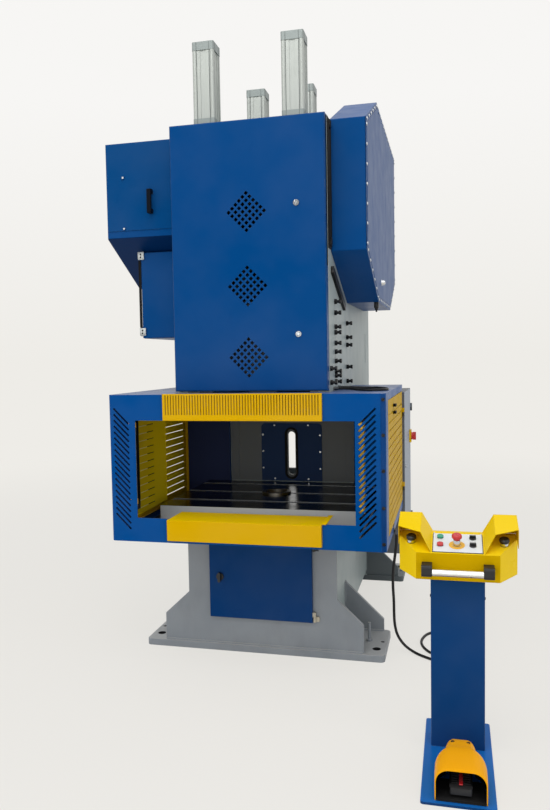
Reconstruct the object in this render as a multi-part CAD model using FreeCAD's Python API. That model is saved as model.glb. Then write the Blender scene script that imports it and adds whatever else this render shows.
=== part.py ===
import FreeCAD, Part
import math
import os

# Mechanical C-frame stamping press with its guard enclosure, drive, counterbalance cylinders,
# electrical cabinet and two-hand control stand. Millimetres, +Z up, standing on the floor at z = 0.
# The origin is the centre of the four anchor holes. +X is the operator's right, +Y runs to the back.
# A depth is measured back from the front edge of the base, because every cover is set from there.

# ---------------------------------------------------------------- driving dimensions
BASE_HALF = 710.0            # half width of both foot plates
FOOT_T = 38.0                # foot plate thickness
FRONT_FOOT = (0.0, 412.0)    # depth range of the front foot plate
REAR_FOOT = (1530.0, 1900.0)
ANCHOR_X = 655.0             # anchor holes, half spacing across
ANCHOR_DEPTHS = (100.0, 1800.0)
ANCHOR_R = 24.0
LEVEL_X = 680.0
LEVEL_DEPTHS = (212.0, 1690.0)
LEVEL_R = 11.0

FRAME_HALF = 435.0           # outer face of each side plate
SIDE_T = 60.0
COLUMN_DEPTH = (19.0, 44.0)  # front column plate
ARCH_Z = 81.0                # underside of the side plates between the feet
BED_Z = 690.0
TABLE_Z = 860.0              # working height
TABLE_REAR = 864.0
THROAT_DEPTH = 896.0
HEAD_Z = 1500.0
HEAD_FRONT = -88.0
REAR_DEPTH = 1785.0
DECK_Z = 2950.0
DECK_T = 40.0

PRESS_DEPTH = 440.0          # axis of the slide, the table hole and the crankshaft
CRANK_Z = 2600.0
THROW = 80.0                 # half the slide's stroke of 160
SLIDE_Z = 1400.0             # slide face at top dead centre
JOURNAL_R = 75.0
PIN_R = 95.0

DOOR_HALF = 433.0            # tall front door
DOOR_DEPTH = (-148.0, -89.0)
DOOR_Z = (1527.0, 2988.0)
SHEET = 3.0

GUARD_HALF = 756.0
GUARD_DEPTH = (-330.0, 868.0)
GUARD_Z = (713.0, 1520.0)
GUARD_OPEN_HALF = 600.0
GUARD_OPEN_Z = (845.0, 1380.0)
GUARD_DOOR_DEPTH = (-193.0, 851.0)
GUARD_DOOR_Z = (761.0, 1477.0)

DRIVE_X = (436.0, 635.0)     # drive cover on the right side plate
FLYWHEEL_R = 400.0
PULLEY_R = 103.0
GROOVE = 10.0
MOTOR_DEPTH = 1600.0
MOTOR_Z = 2450.0

CYLINDER_SIDE = 125.0
CYLINDER_Z = (2990.0, 3448.0)
CAP_H = 45.0
CYLINDER_PLACES = ((-251.0, -17.0), (251.0, -17.0), (-160.0, 762.0), (160.0, 762.0))

STAND_X = 1102.0             # centre of the two-hand control stand
STAND_BASE_DEPTH = (-1279.0, -609.0)
STAND_COLUMN_DEPTH = (-857.0, -727.0)
HEAD_HALF = 248.0
PANEL_SLOPE = 0.315          # rise of the control panel per millimetre of depth

CABLE_R = 8.0

FRONT_EDGE_Y = -sum(ANCHOR_DEPTHS) / 2.0
SIDE_IN = FRAME_HALF - SIDE_T
DECK_TOP = DECK_Z + DECK_T
RUNNING = 0.1                # radial clearance of shafts and hinge pins
V = FreeCAD.Vector


# ---------------------------------------------------------------- helpers
def y_at(depth):
    return FRONT_EDGE_Y + depth


def block(x, depth, z):
    """Rectangular block from three (low, high) pairs."""
    size = (x[1] - x[0], depth[1] - depth[0], z[1] - z[0])
    return Part.makeBox(*size, V(x[0], y_at(depth[0]), z[0]))


def prism(points, direction):
    """Flat closed outline pushed along a direction."""
    wire = Part.makePolygon(points + [points[0]])
    return Part.Face(wire).extrude(direction)


def side_prism(outline, x):
    """Outline of (depth, z) pairs pushed along X."""
    return prism([V(x[0], y_at(d), z) for d, z in outline], V(x[1] - x[0], 0, 0))


def front_prism(outline, depth):
    """Outline of (x, z) pairs pushed along Y."""
    return prism([V(x, y_at(depth[0]), z) for x, z in outline], V(0, depth[1] - depth[0], 0))


def plan_prism(outline, z):
    """Outline of (x, depth) pairs pushed up along Z."""
    return prism([V(x, y_at(d), z[0]) for x, d in outline], V(0, 0, z[1] - z[0]))


def rod_x(radius, depth, z, x):
    return Part.makeCylinder(radius, x[1] - x[0], V(x[0], y_at(depth), z), V(1, 0, 0))


def rod_y(radius, x, z, depth):
    return Part.makeCylinder(radius, depth[1] - depth[0], V(x, y_at(depth[0]), z), V(0, 1, 0))


def rod_z(radius, x, depth, z):
    return Part.makeCylinder(radius, z[1] - z[0], V(x, y_at(depth), z[0]), V(0, 0, 1))


def ring_z(outer, inner, x, depth, z):
    return rod_z(outer, x, depth, z).cut(rod_z(inner, x, depth, z))


def hex_x(across, depth, z, x):
    """Hexagon nut or head lying along X."""
    r = across / math.sqrt(3.0)
    corners = [math.radians(60 * i) for i in range(6)]
    return side_prism([(depth + r * math.cos(a), z + r * math.sin(a)) for a in corners], x)


def hex_z(across, x, depth, z):
    r = across / math.sqrt(3.0)
    corners = [math.radians(60 * i) for i in range(6)]
    return plan_prism([(x + r * math.cos(a), depth + r * math.sin(a)) for a in corners], z)


def fuse(shapes):
    body = shapes[0]
    for other in shapes[1:]:
        body = body.fuse(other)
    return body.removeSplitter()


def cut(shape, tools):
    for tool in tools:
        shape = shape.cut(tool)
    return shape


def group(shapes):
    return Part.makeCompound(shapes)


def parcels(shape, boxes):
    """Parts a shape into the pieces that lie in each box in turn, and what is left."""
    pieces = []
    for box in boxes:
        pieces += shape.common(box).Solids
        shape = shape.cut(box)
    return pieces + shape.Solids


def mirror_x(shape, x=0.0):
    return shape.mirror(V(x, 0, 0), V(1, 0, 0))


def both_sides(shape, x=0.0):
    return [shape, mirror_x(shape, x)]


def fillet_where(shape, radius, test):
    """Round the edges whose two ends both pass the test."""
    chosen = [e for e in shape.Edges if all(test(v.Point) for v in e.Vertexes)]
    return shape.makeFillet(radius, chosen)


def fillet_along(shape, radius, axis, test=lambda p: True):
    """Round the straight edges that run along one axis (0, 1 or 2) and pass the test."""
    chosen = []
    for edge in shape.Edges:
        if len(edge.Vertexes) != 2:
            continue
        a, b = (v.Point for v in edge.Vertexes)
        moved = [abs(b[i] - a[i]) > 1e-6 for i in range(3)]
        if moved[axis] and sum(moved) == 1 and test(a) and test(b):
            chosen.append(edge)
    return shape.makeFillet(radius, chosen)


def front_pan(x, depth, z, radius, wall=SHEET):
    """Folded sheet pan, open at the back, with rounded front edges."""
    outer = block(x, depth, z)
    front = y_at(depth[0])
    outer = fillet_where(outer, radius, lambda p: abs(p.y - front) < 1e-6)
    inside = block((x[0] + wall, x[1] - wall), (depth[0] + wall, depth[1] + 1), (z[0] + wall, z[1] - wall))
    return outer.cut(inside)


def obround_y(x, z, half_w, depth):
    """Upright slot tool with round ends, pushed along Y; z gives the ends' centres."""
    body = block((x - half_w, x + half_w), depth, z)
    return fuse([body, rod_y(half_w, x, z[0], depth), rod_y(half_w, x, z[1], depth)])


def hinge_fixed(x, depth, z, leaf):
    """Lower knuckle with its pin and the leaf to the frame; leaf is (x range, depth range)."""
    knuckle = rod_z(8, x, depth, (z - 28, z))
    pin = rod_z(4, x, depth, (z - 1, z + 24))
    plate = block(leaf[0], leaf[1], (z - 28, z))
    return fuse([knuckle, plate, pin])


def hinge_moving(x, depth, z, leaf):
    """Upper knuckle, bored for the pin, with the leaf to the door."""
    top = (z + 0.3, z + 28)
    body = fuse([rod_z(8, x, depth, top), block(leaf[0], leaf[1], top)])
    return body.cut(rod_z(4 + RUNNING, x, depth, (z - 1, z + 25)))


# ---------------------------------------------------------------- welded frame
def foot_plate(depth, anchor_depth, level_depth):
    plate = block((-BASE_HALF, BASE_HALF), depth, (0, FOOT_T))
    plate = fillet_along(plate, 26, 2)
    top = FOOT_T
    plate = fillet_where(plate, 5, lambda p: abs(p.z - top) < 1e-6)
    holes = []
    for side in (-1, 1):
        holes.append(rod_z(ANCHOR_R, side * ANCHOR_X, anchor_depth, (-1, FOOT_T + 1)))
        holes.append(rod_z(LEVEL_R, side * LEVEL_X, level_depth, (-1, FOOT_T + 1)))
    return cut(plate, holes)


def feet():
    """Front and rear foot with their gussets, and the levelling screws on the front one."""
    front = foot_plate(FRONT_FOOT, ANCHOR_DEPTHS[0], LEVEL_DEPTHS[0])
    rear = foot_plate(REAR_FOOT, ANCHOR_DEPTHS[1], LEVEL_DEPTHS[1])
    screws = []
    for side in (-1, 1):
        nut = hex_z(30, side * 602, 211, (FOOT_T, FOOT_T + 14))
        rod = rod_z(9, side * 602, 211, (FOOT_T, 150))
        screws.append(fuse([nut, rod]))
    return group([front, rear] + foot_gussets() + screws)


def front_column():
    """Front plate with spreading wings and the opening behind the base door."""
    wing = [(592, FOOT_T), (592, 196), (442, 335), (442, BED_Z)]
    outline = wing + [(-x, z) for x, z in reversed(wing)]
    plate = front_prism(outline, COLUMN_DEPTH)
    opening = block((-275, 275), (0, 60), (230, 660))
    return plate.cut(opening)


def foot_gussets():
    """Four slanted stiffening plates, two on each foot."""
    outline = [(FRAME_HALF, FOOT_T), (671, FOOT_T), (671, 109), (FRAME_HALF, 334)]
    plates = []
    for depth in ((385, 410), (1535, 1560)):
        plates += both_sides(front_prism(outline, depth))
    return plates


def side_plate(side):
    """C-shaped side plate with its throat, shaft bore and lifting slot."""
    outline = [(COLUMN_DEPTH[1], FOOT_T), (FRONT_FOOT[1], FOOT_T), (FRONT_FOOT[1], ARCH_Z),
               (REAR_FOOT[0], ARCH_Z), (REAR_FOOT[0], FOOT_T), (REAR_DEPTH, FOOT_T),
               (REAR_DEPTH, DECK_Z), (HEAD_FRONT, DECK_Z), (HEAD_FRONT, HEAD_Z),
               (THROAT_DEPTH, HEAD_Z), (THROAT_DEPTH, BED_Z), (COLUMN_DEPTH[1], BED_Z)]
    plate = side_prism(outline, (SIDE_IN, FRAME_HALF))
    throat = y_at(THROAT_DEPTH)
    plate = fillet_along(plate, 90, 0, lambda p: abs(p.y - throat) < 1e-6 and p.z > 1000)
    plate = fillet_along(plate, 45, 0, lambda p: abs(p.y - y_at(REAR_DEPTH)) < 1e-6 and p.z > 1000)
    through = (SIDE_IN - 1, FRAME_HALF + 1)
    holes = [rod_x(JOURNAL_R + 20, PRESS_DEPTH, CRANK_Z, through)]
    slot = block(through, (1540, 1564), (1669, 1869))
    holes.append(fuse([slot, rod_x(12, 1552, 1669, through), rod_x(12, 1552, 1869, through)]))
    if side > 0:
        holes.append(rod_x(60, MOTOR_DEPTH, MOTOR_Z, through))
    plate = cut(plate, holes)
    return plate if side > 0 else mirror_x(plate)


def bed_plate():
    plate = block((-442, 442), (COLUMN_DEPTH[0], TABLE_REAR), (BED_Z, BED_Z + 40))
    return plate.cut(rod_z(100, 0, PRESS_DEPTH, (BED_Z - 1, BED_Z + 41)))


def rear_plate():
    plate = block((-SIDE_IN, SIDE_IN), (1745, REAR_DEPTH), (ARCH_Z, DECK_Z))
    windows = [block((-260, 260), (1740, 1790), (820, 1280)), block((-260, 260), (1740, 1790), (220, 620))]
    windows = [fillet_along(w, 40, 1) for w in windows]
    return cut(plate, windows)


def cross_members():
    """Cross plates between the side plates: throat plate, head rails, web and motor shelf."""
    across = (-SIDE_IN, SIDE_IN)
    throat = block(across, (900, 925), (BED_Z + 40, HEAD_Z))
    throat = throat.cut(obround_y(0, (930, 1176), 26, (890, 930)))
    strips = [block(x, (890, 930), (BED_Z, HEAD_Z + 1)) for x in ((-SIDE_IN, -26), (26, SIDE_IN))]
    strips.append(block((-26, 26), (890, 930), (BED_Z, 1050)))
    lower_rail = block(across, (HEAD_FRONT, -48), (1530, 1600))
    upper_rail = block(across, (HEAD_FRONT, -48), (2880, DECK_Z))
    web = block(across, (860, 885), (HEAD_Z + 90, 2200))
    shelf = block(across, (1380, 1745), (2230, 2255))
    return group(parcels(throat, strips) + [lower_rail, upper_rail, web, shelf])


def top_deck():
    deck = block((-FRAME_HALF, FRAME_HALF), (HEAD_FRONT, REAR_DEPTH), (DECK_Z, DECK_TOP))
    return cut(deck, [rod_z(30, x, d, (DECK_Z - 1, DECK_TOP + 1)) for x, d in CYLINDER_PLACES])


# ---------------------------------------------------------------- table and throat
def t_slot(x, depth, top, opening=28, head=50, lip=30, foot=22):
    """Tool for one T-slot that runs along X under the given surface."""
    neck = block(x, (depth - opening / 2, depth + opening / 2), (top - lip - 1, top + 1))
    wide = block(x, (depth - head / 2, depth + head / 2), (top - lip - foot, top - lip))
    return fuse([neck, wide])


def bolster():
    """Table plate with three T-slots and a stepped ring bore."""
    plate = block((-584, 584), (-50, TABLE_REAR), (BED_Z + 40, TABLE_Z))
    plate = fillet_along(plate, 4, 2)
    tools = [t_slot((-590, 590), d, TABLE_Z) for d in (152, PRESS_DEPTH, 728)]
    tools.append(rod_z(92, 0, PRESS_DEPTH, (TABLE_Z - 14, TABLE_Z + 1)))
    tools.append(rod_z(76, 0, PRESS_DEPTH, (BED_Z, TABLE_Z)))
    return cut(plate, tools)


def throat_cover():
    """Sheet cover on the throat plate, with its long viewing slot."""
    cover = block((-212, 212), (892, 900), (862, 1259))
    cover = fillet_along(cover, 28, 1, lambda p: p.z > 1200)
    cover = cover.cut(block((-208, 208), (895, 901), (866, 1228)))
    return cover.cut(obround_y(0, (920, 1186), 35, (890, 901)))


# ---------------------------------------------------------------- crank drive and slide
def crank_web(x):
    """Cheek plate that joins the journal to the crank pin."""
    pin_z = CRANK_Z + THROW
    low = rod_x(120, PRESS_DEPTH, CRANK_Z, x)
    high = rod_x(125, PRESS_DEPTH, pin_z, x)
    middle = block(x, (PRESS_DEPTH - 120, PRESS_DEPTH + 120), (CRANK_Z, pin_z))
    return fuse([low, high, middle])


def crankshaft():
    parts = [rod_x(PIN_R, PRESS_DEPTH, CRANK_Z + THROW, (-121, 121))]
    parts += [crank_web((-200, -120)), crank_web((120, 200))]
    parts.append(rod_x(JOURNAL_R, PRESS_DEPTH, CRANK_Z, (-442, -199)))
    parts.append(rod_x(JOURNAL_R, PRESS_DEPTH, CRANK_Z, (199, 452)))
    parts.append(rod_x(60, PRESS_DEPTH, CRANK_Z, (-540, -441)))
    parts.append(rod_x(60, PRESS_DEPTH, CRANK_Z, (451, 612)))
    return fuse(parts)


def crank_bushes():
    """Flanged bronze bushes in the side plates."""
    bush = rod_x(JOURNAL_R + 20, PRESS_DEPTH, CRANK_Z, (SIDE_IN - 12, FRAME_HALF))
    flange = rod_x(JOURNAL_R + 38, PRESS_DEPTH, CRANK_Z, (SIDE_IN - 12, SIDE_IN))
    bore = rod_x(JOURNAL_R + RUNNING, PRESS_DEPTH, CRANK_Z, (SIDE_IN - 20, FRAME_HALF + 8))
    return group(both_sides(fuse([bush, flange]).cut(bore)))


def big_end(low, high):
    """Half of the crank pin bearing block, between two heights, with its bolting ears."""
    pin_z = CRANK_Z + THROW
    ring = rod_x(150, PRESS_DEPTH, pin_z, (-116, 116))
    ears = block((-70, 70), (PRESS_DEPTH - 205, PRESS_DEPTH + 205), (pin_z - 45, pin_z + 45))
    keep = block((-120, 120), (PRESS_DEPTH - 210, PRESS_DEPTH + 210), (low, high))
    half = fuse([ring, ears]).common(keep)
    return half.cut(rod_x(PIN_R + RUNNING, PRESS_DEPTH, pin_z, (-120, 120)))


def connecting_rod():
    """Forked-down rod: lower half of the big end, tapered shank and the nut for the adjusting screw."""
    pin_z = CRANK_Z + THROW
    half = big_end(pin_z - 200, pin_z - 0.25)
    shank = side_prism([(PRESS_DEPTH - 95, pin_z - 110), (PRESS_DEPTH + 95, pin_z - 110),
                        (PRESS_DEPTH + 70, 2330), (PRESS_DEPTH - 70, 2330)], (-62, 62))
    boss = rod_z(92, 0, PRESS_DEPTH, (2200, 2345))
    body = fuse([half, shank.cut(rod_x(PIN_R + 20, PRESS_DEPTH, pin_z, (-120, 120))), boss])
    tools = [rod_z(60 + RUNNING, 0, PRESS_DEPTH, (2190, 2335))]
    tools += [rod_z(17, 0, PRESS_DEPTH + s * 178, (pin_z - 50, pin_z + 1)) for s in (-1, 1)]
    return cut(body, tools)


def rod_cap():
    """Upper half of the big end with its two bolts."""
    pin_z = CRANK_Z + THROW
    half = big_end(pin_z + 0.25, pin_z + 200)
    pieces = []
    for side in (-1, 1):
        depth = PRESS_DEPTH + side * 178
        half = half.cut(rod_z(16, 0, depth, (pin_z, pin_z + 60)))
        stud = rod_z(15.5, 0, depth, (pin_z - 44, pin_z + 50))
        pieces.append(fuse([stud, hex_z(48, 0, depth, (pin_z + 45.2, pin_z + 70))]))
    return group([half] + pieces)


def adjusting_screw():
    """Slide-height screw with its hexagon collar and ball foot."""
    ball_z = 1930.0
    screw = rod_z(60, 0, PRESS_DEPTH, (ball_z + 60, 2330))
    ball = Part.makeSphere(85, V(0, y_at(PRESS_DEPTH), ball_z))
    collar = hex_z(150, 0, PRESS_DEPTH, (2090, 2140))
    return fuse([screw, ball, collar])


def slide():
    """Box-shaped slide with a wide face plate, T-slots, ball socket and counterbalance arms."""
    body = block((-340, 340), (PRESS_DEPTH - 300, PRESS_DEPTH + 300), (SLIDE_Z + 50, 2020))
    face = block((-352, 352), (PRESS_DEPTH - 330, PRESS_DEPTH + 330), (SLIDE_Z, SLIDE_Z + 50))
    front_arm = block((-280, 280), (-50, PRESS_DEPTH - 299), (1965, 2020))
    rear_arm = block((-215, 215), (PRESS_DEPTH + 299, 800), (1965, 2020))
    ring = rod_z(140, 0, PRESS_DEPTH, (2019, 2050))
    solid = fuse([body, face, front_arm, rear_arm, ring])
    tools = [t_slot((-360, 360), PRESS_DEPTH + d, 0) for d in (-200, 200)]
    for tool in tools:
        tool.rotate(V(0, y_at(PRESS_DEPTH), 0), V(1, 0, 0), 180)
        tool.translate(V(0, 0, SLIDE_Z))
    tools.append(rod_z(25, 0, PRESS_DEPTH, (SLIDE_Z - 1, SLIDE_Z + 90)))
    tools.append(Part.makeSphere(85.2, V(0, y_at(PRESS_DEPTH), 1930)))
    tools.append(rod_z(68, 0, PRESS_DEPTH, (1930, 2060)))
    for side in (-1, 1):
        pocket_x = (side * 190 - 115, side * 190 + 115)
        for depth in ((PRESS_DEPTH - 301, PRESS_DEPTH - 120), (PRESS_DEPTH + 120, PRESS_DEPTH + 301)):
            tools.append(fillet_along(block(pocket_x, depth, (1500, 1900)), 30, 1))
    return cut(solid, tools)


def slide_gibs():
    """Four L-shaped guides that hold the corners of the slide."""
    z = (HEAD_Z + 5, 2150)
    gap = 0.3
    near = PRESS_DEPTH - 300
    outline = [(SIDE_IN, near - 40), (290, near - 40), (290, near - gap), (340 + gap, near - gap),
               (340 + gap, near + 90), (SIDE_IN, near + 90)]
    front = plan_prism(outline, z)
    rear = plan_prism([(x, 2 * PRESS_DEPTH - d) for x, d in outline], z)
    return group(both_sides(front) + both_sides(rear))


def gib_screws():
    """Gib adjusting screws with lock nuts, in columns on the outside of each side plate."""
    front_column_z = (1569, 1603, 1628, 1685, 1737, 1786, 1846, 1877, 1956, 2018)
    rear_column_z = (1557, 1646, 1782, 1829, 1916)
    right = [(105, z) for z in front_column_z] + [(560, z) for z in rear_column_z]
    right += [(-62, 1569), (-62, 1645)]
    left = [(depth, z) for depth, z in right if depth > 0 and z < CONTROL_OUTLINE[0][1] - 20]
    return group([gib_screw(*p) for p in right] + [mirror_x(gib_screw(*p)) for p in left])


def gib_screw(depth, z):
    nut = hex_x(27, depth, z, (FRAME_HALF, FRAME_HALF + 14))
    shank = rod_x(8, depth, z, (FRAME_HALF + 13, FRAME_HALF + 27))
    head = rod_x(12, depth, z, (FRAME_HALF + 26, FRAME_HALF + 38))
    return fuse([nut, shank, head])


# ---------------------------------------------------------------- counterbalance cylinders
def counterbalance_cylinders():
    """Four square aluminium barrels with a groove down each face, between their end caps."""
    half = CYLINDER_SIDE / 2 - 4
    z = (CYLINDER_Z[0] + CAP_H, CYLINDER_Z[1] - CAP_H)
    barrels = []
    for x, depth in CYLINDER_PLACES:
        barrel = block((x - half, x + half), (depth - half, depth + half), z)
        barrel = fillet_along(barrel, 12, 2)
        tools = [rod_z(50, x, depth, (z[0] - 1, z[1] + 1))]
        for side in (-1, 1):
            face = side * half
            tools.append(block(sorted((x + face - side * 3, x + face + side)), (depth - 16, depth + 16), z))
            tools.append(block((x - 16, x + 16), sorted((depth + face - side * 3, depth + face + side)), z))
        barrels.append(cut(barrel, tools))
    return group(barrels + cylinder_caps())


def cylinder_caps():
    """End caps; the lower ones are bored for the rods, the upper ones have a port."""
    half = CYLINDER_SIDE / 2
    caps = []
    for x, depth in CYLINDER_PLACES:
        for z in ((CYLINDER_Z[0], CYLINDER_Z[0] + CAP_H), (CYLINDER_Z[1] - CAP_H, CYLINDER_Z[1])):
            cap = block((x - half, x + half), (depth - half, depth + half), z)
            cap = fillet_along(cap, 10, 2)
            if z[0] == CYLINDER_Z[0]:
                cap = cap.cut(rod_z(23.5, x, depth, (z[0] - 1, z[1] + 1)))
            else:
                cap = cap.cut(rod_z(12, x, depth, (z[1] - 12, z[1] + 1)))
            caps.append(cap)
    return caps


def piston_rods():
    """Counterbalance rods with their pistons, standing on the slide's arms."""
    rods = []
    for x, depth in CYLINDER_PLACES:
        rod = rod_z(22, x, depth, (2020, 3320))
        piston = rod_z(49.5, x, depth, (3315, 3350))
        collar = hex_z(60, x, depth, (2020, 2050))
        rods.append(fuse([rod, piston, collar]))
    return group(rods)


# ---------------------------------------------------------------- belt drive
def revolve_x(profile, depth, z):
    """Turn an outline of (x, radius) pairs about the shaft axis through (depth, z)."""
    face = Part.Face(Part.makePolygon([V(x, y_at(depth) + r, z) for x, r in profile + [profile[0]]]))
    return face.revolve(V(0, y_at(depth), z), V(1, 0, 0), 360)


BELT_X = (508.0, 530.0, 552.0, 574.0)   # middles of the four V-belts


def grooves(rim, side):
    """Rim outline from left to right with one V-groove per belt."""
    points = []
    for middle in BELT_X:
        points += [(middle - 8, rim), (middle - 5, rim - GROOVE)]
        points += [(middle + 5, rim - GROOVE), (middle + 8, rim)]
    return [(side[0], rim)] + points + [(side[1], rim)]


def flywheel():
    """Cast flywheel: grooved rim, thin web with six lightening holes, long hub."""
    x = (490.0, 592.0)
    hub = (470.0, 606.0)
    web = (525.0, 557.0)
    bore = 60 + RUNNING
    profile = grooves(FLYWHEEL_R, x)
    profile += [(x[1], 330), (web[1], 318), (web[1], 120), (hub[1], 105), (hub[1], bore)]
    profile += [(hub[0], bore), (hub[0], 105), (web[0], 120), (web[0], 318), (x[0], 330)]
    wheel = revolve_x(profile, PRESS_DEPTH, CRANK_Z)
    holes = []
    for i in range(6):
        a = math.radians(60 * i + 30)
        holes.append(rod_x(48, PRESS_DEPTH + 218 * math.cos(a), CRANK_Z + 218 * math.sin(a), (500, 580)))
    return cut(wheel, holes)


def motor_pulley():
    """Grooved pulley on the motor shaft."""
    x = (494.0, 588.0)
    profile = grooves(PULLEY_R, x) + [(x[1], 21), (x[0], 21)]
    pulley = revolve_x(profile, MOTOR_DEPTH, MOTOR_Z)
    return fuse([pulley, rod_x(21.5, MOTOR_DEPTH, MOTOR_Z, (306, 592))])


def belt_outline(offset, x):
    """Closed loop around flywheel and pulley, at one height above the groove floors."""
    big = FLYWHEEL_R - GROOVE + offset
    small = PULLEY_R - GROOVE + offset
    a = V(x, y_at(PRESS_DEPTH), CRANK_Z)
    b = V(x, y_at(MOTOR_DEPTH), MOTOR_Z)
    run = b - a
    lean = math.atan2(run.z, run.y)
    spread = math.acos((big - small) / run.Length)

    def on(centre, radius, angle):
        return centre + V(0, radius * math.cos(angle), radius * math.sin(angle))

    upper = (on(a, big, lean + spread), on(b, small, lean + spread))
    lower = (on(a, big, lean - spread), on(b, small, lean - spread))
    back = Part.Arc(upper[1], on(b, small, lean), lower[1]).toShape()
    front = Part.Arc(lower[0], on(a, big, lean + math.pi), upper[0]).toShape()
    top = Part.LineSegment(upper[0], upper[1]).toShape()
    bottom = Part.LineSegment(lower[1], lower[0]).toShape()
    return Part.Wire([top, back, bottom, front])


def drive_belts():
    belts = []
    for middle in BELT_X:
        outer = Part.Face(belt_outline(GROOVE, middle - 5)).extrude(V(10, 0, 0))
        inner = Part.Face(belt_outline(3, middle - 5.5)).extrude(V(11, 0, 0))
        belts.append(outer.cut(inner))
    return group(belts)


def motor():
    """Foot-mounted motor with cooling fins, bolted to the shelf in the head."""
    body = rod_x(122, MOTOR_DEPTH, MOTOR_Z, (-60, 330))
    flange = rod_x(137, MOTOR_DEPTH, MOTOR_Z, (330, 352))
    cowl = rod_x(134, MOTOR_DEPTH, MOTOR_Z, (-150, -60))
    feet = block((20, 300), (MOTOR_DEPTH - 125, MOTOR_DEPTH + 125), (2255, 2330))
    box = block((90, 230), (MOTOR_DEPTH - 70, MOTOR_DEPTH + 70), (MOTOR_Z + 105, MOTOR_Z + 190))
    fins = []
    for i in range(12):
        angle = 30 * i + 15
        fin = block((-50, 320), (MOTOR_DEPTH - 3, MOTOR_DEPTH + 3), (MOTOR_Z + 118, MOTOR_Z + 138))
        fin.rotate(V(0, y_at(MOTOR_DEPTH), MOTOR_Z), V(1, 0, 0), angle)
        fins.append(fin)
    whole = fuse([body, flange, cowl, feet, box] + fins)
    return whole.cut(rod_x(21.5 + RUNNING, MOTOR_DEPTH, MOTOR_Z, (300, 360)))


DRIVE_OUTLINE = [(0, 2285), (0, 2990), (575, 3248), (1914, 3248), (1914, 2276), (1458, 2045), (605, 2045)]


def inset_outline(outline, wall):
    """Outline of (depth, z) pairs moved inwards by the wall, keeping its corners sharp."""
    wire = Part.makePolygon([V(d, z, 0) for d, z in outline + [outline[0]]])
    face = Part.Face(wire).makeOffset2D(-wall, 2)
    ring = face.OuterWire.OrderedVertexes
    return [(v.Point.x, v.Point.y) for v in ring]


def drive_cover():
    """Deep sheet housing over the flywheel and belts, against the right side plate."""
    outer = side_prism(DRIVE_OUTLINE, (DRIVE_X[0], DRIVE_X[1] - 4))
    outer = fillet_where(outer, 8, lambda p: abs(p.y - y_at(0)) < 1e-6)
    inner = side_prism(inset_outline(DRIVE_OUTLINE, 4), (DRIVE_X[0] + 4, DRIVE_X[1] + 1))
    holes = [rod_x(110, PRESS_DEPTH, CRANK_Z, (430, 445)), rod_x(60, MOTOR_DEPTH, MOTOR_Z, (430, 445))]
    return group([cut(outer, [inner] + holes), drive_cover_lid()])


def drive_cover_lid():
    """Flat screwed lid, stiffened by a raised field."""
    edge = side_prism(DRIVE_OUTLINE, (DRIVE_X[1] - 4, DRIVE_X[1] - 2))
    field = side_prism(inset_outline(DRIVE_OUTLINE, 34), (DRIVE_X[1] - 3, DRIVE_X[1]))
    recess = side_prism(inset_outline(DRIVE_OUTLINE, 36), (DRIVE_X[1] - 5, DRIVE_X[1] - 2))
    return fuse([edge, field]).cut(recess)


# ---------------------------------------------------------------- covers and cabinets on the left
LEFT_X = (-889.0, -436.0)
LEFT_OUTLINE = [(0, 2422), (0, 2966), (1300, 2966), (1300, 2168), (440, 2168)]


def left_housing():
    """Housing on the left side plate, with a slanted underside and a front opening."""
    outer = side_prism(LEFT_OUTLINE, LEFT_X)
    outer = fillet_where(outer, 6, lambda p: abs(p.y - y_at(0)) < 1e-6)
    inner = side_prism(inset_outline(LEFT_OUTLINE, 4), (LEFT_X[0] + 4, LEFT_X[1] - 4))
    window = block((LEFT_X[0] + 40, LEFT_X[1] - 40), (-1, 20), (2500, 2925))
    shaft = rod_x(110, PRESS_DEPTH, CRANK_Z, (-445, -430))
    return cut(outer, [inner, window, shaft])


def left_access_panel():
    """Screwed front panel of the left housing with its bridge handle."""
    plate = block((LEFT_X[0] + 6, LEFT_X[1] - 2), (-4, 0), (2462, 2960))
    plate = fillet_along(plate, 6, 1)
    grip = block((-620, -596), (-42, -4), (2550, 2687))
    grip = grip.cut(block((-625, -590), (-28, -3), (2575, 2662)))
    grip = fillet_along(grip, 6, 0, lambda p: p.y < y_at(-41))
    bolts = [rod_y(9, -779, z, (-10, -4)) for z in (2474, 2766)]
    return group([fuse([plate, grip])] + bolts)


CONTROL_X = (-727.0, -437.0)
CONTROL_OUTLINE = [(121, 1838), (620, 1838), (620, 2166), (440, 2166), (121, 2350)]


def control_cabinet():
    """Small cabinet below the left housing, open at the front behind its door."""
    outer = side_prism(CONTROL_OUTLINE, CONTROL_X)
    inner = side_prism(inset_outline(CONTROL_OUTLINE, 3), (CONTROL_X[0] + 3, CONTROL_X[1] - 3))
    window = block((CONTROL_X[0] + 20, CONTROL_X[1] - 20), (115, 140), (1860, 2320))
    return cut(outer, [inner, window])


CONTROL_HINGE = (-735.0, 108.0)
CONTROL_HINGE_Z = (1880.0, 2290.0)


def control_cabinet_door():
    x, depth = CONTROL_HINGE
    pan = front_pan((CONTROL_X[0], CONTROL_X[1] - 2), (100, 120.5), (1840, 2346), 4)
    leaf = ((x, CONTROL_X[0] + 1), (104, 112))
    return fuse([pan] + [hinge_moving(x, depth, z, leaf) for z in CONTROL_HINGE_Z])


# ---------------------------------------------------------------- tall front door
DOOR_HINGE = (-441.5, -95.0)
DOOR_HINGE_Z = (1680.0, 2250.0, 2820.0)
LOCKS = ((276.0, 2528.0), (279.0, 1833.0))
VENT_Z = (1712.0, 2099.0, 2498.0)
VENT_PITCH = 28.0
VENT_HOLE = 17.0


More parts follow.
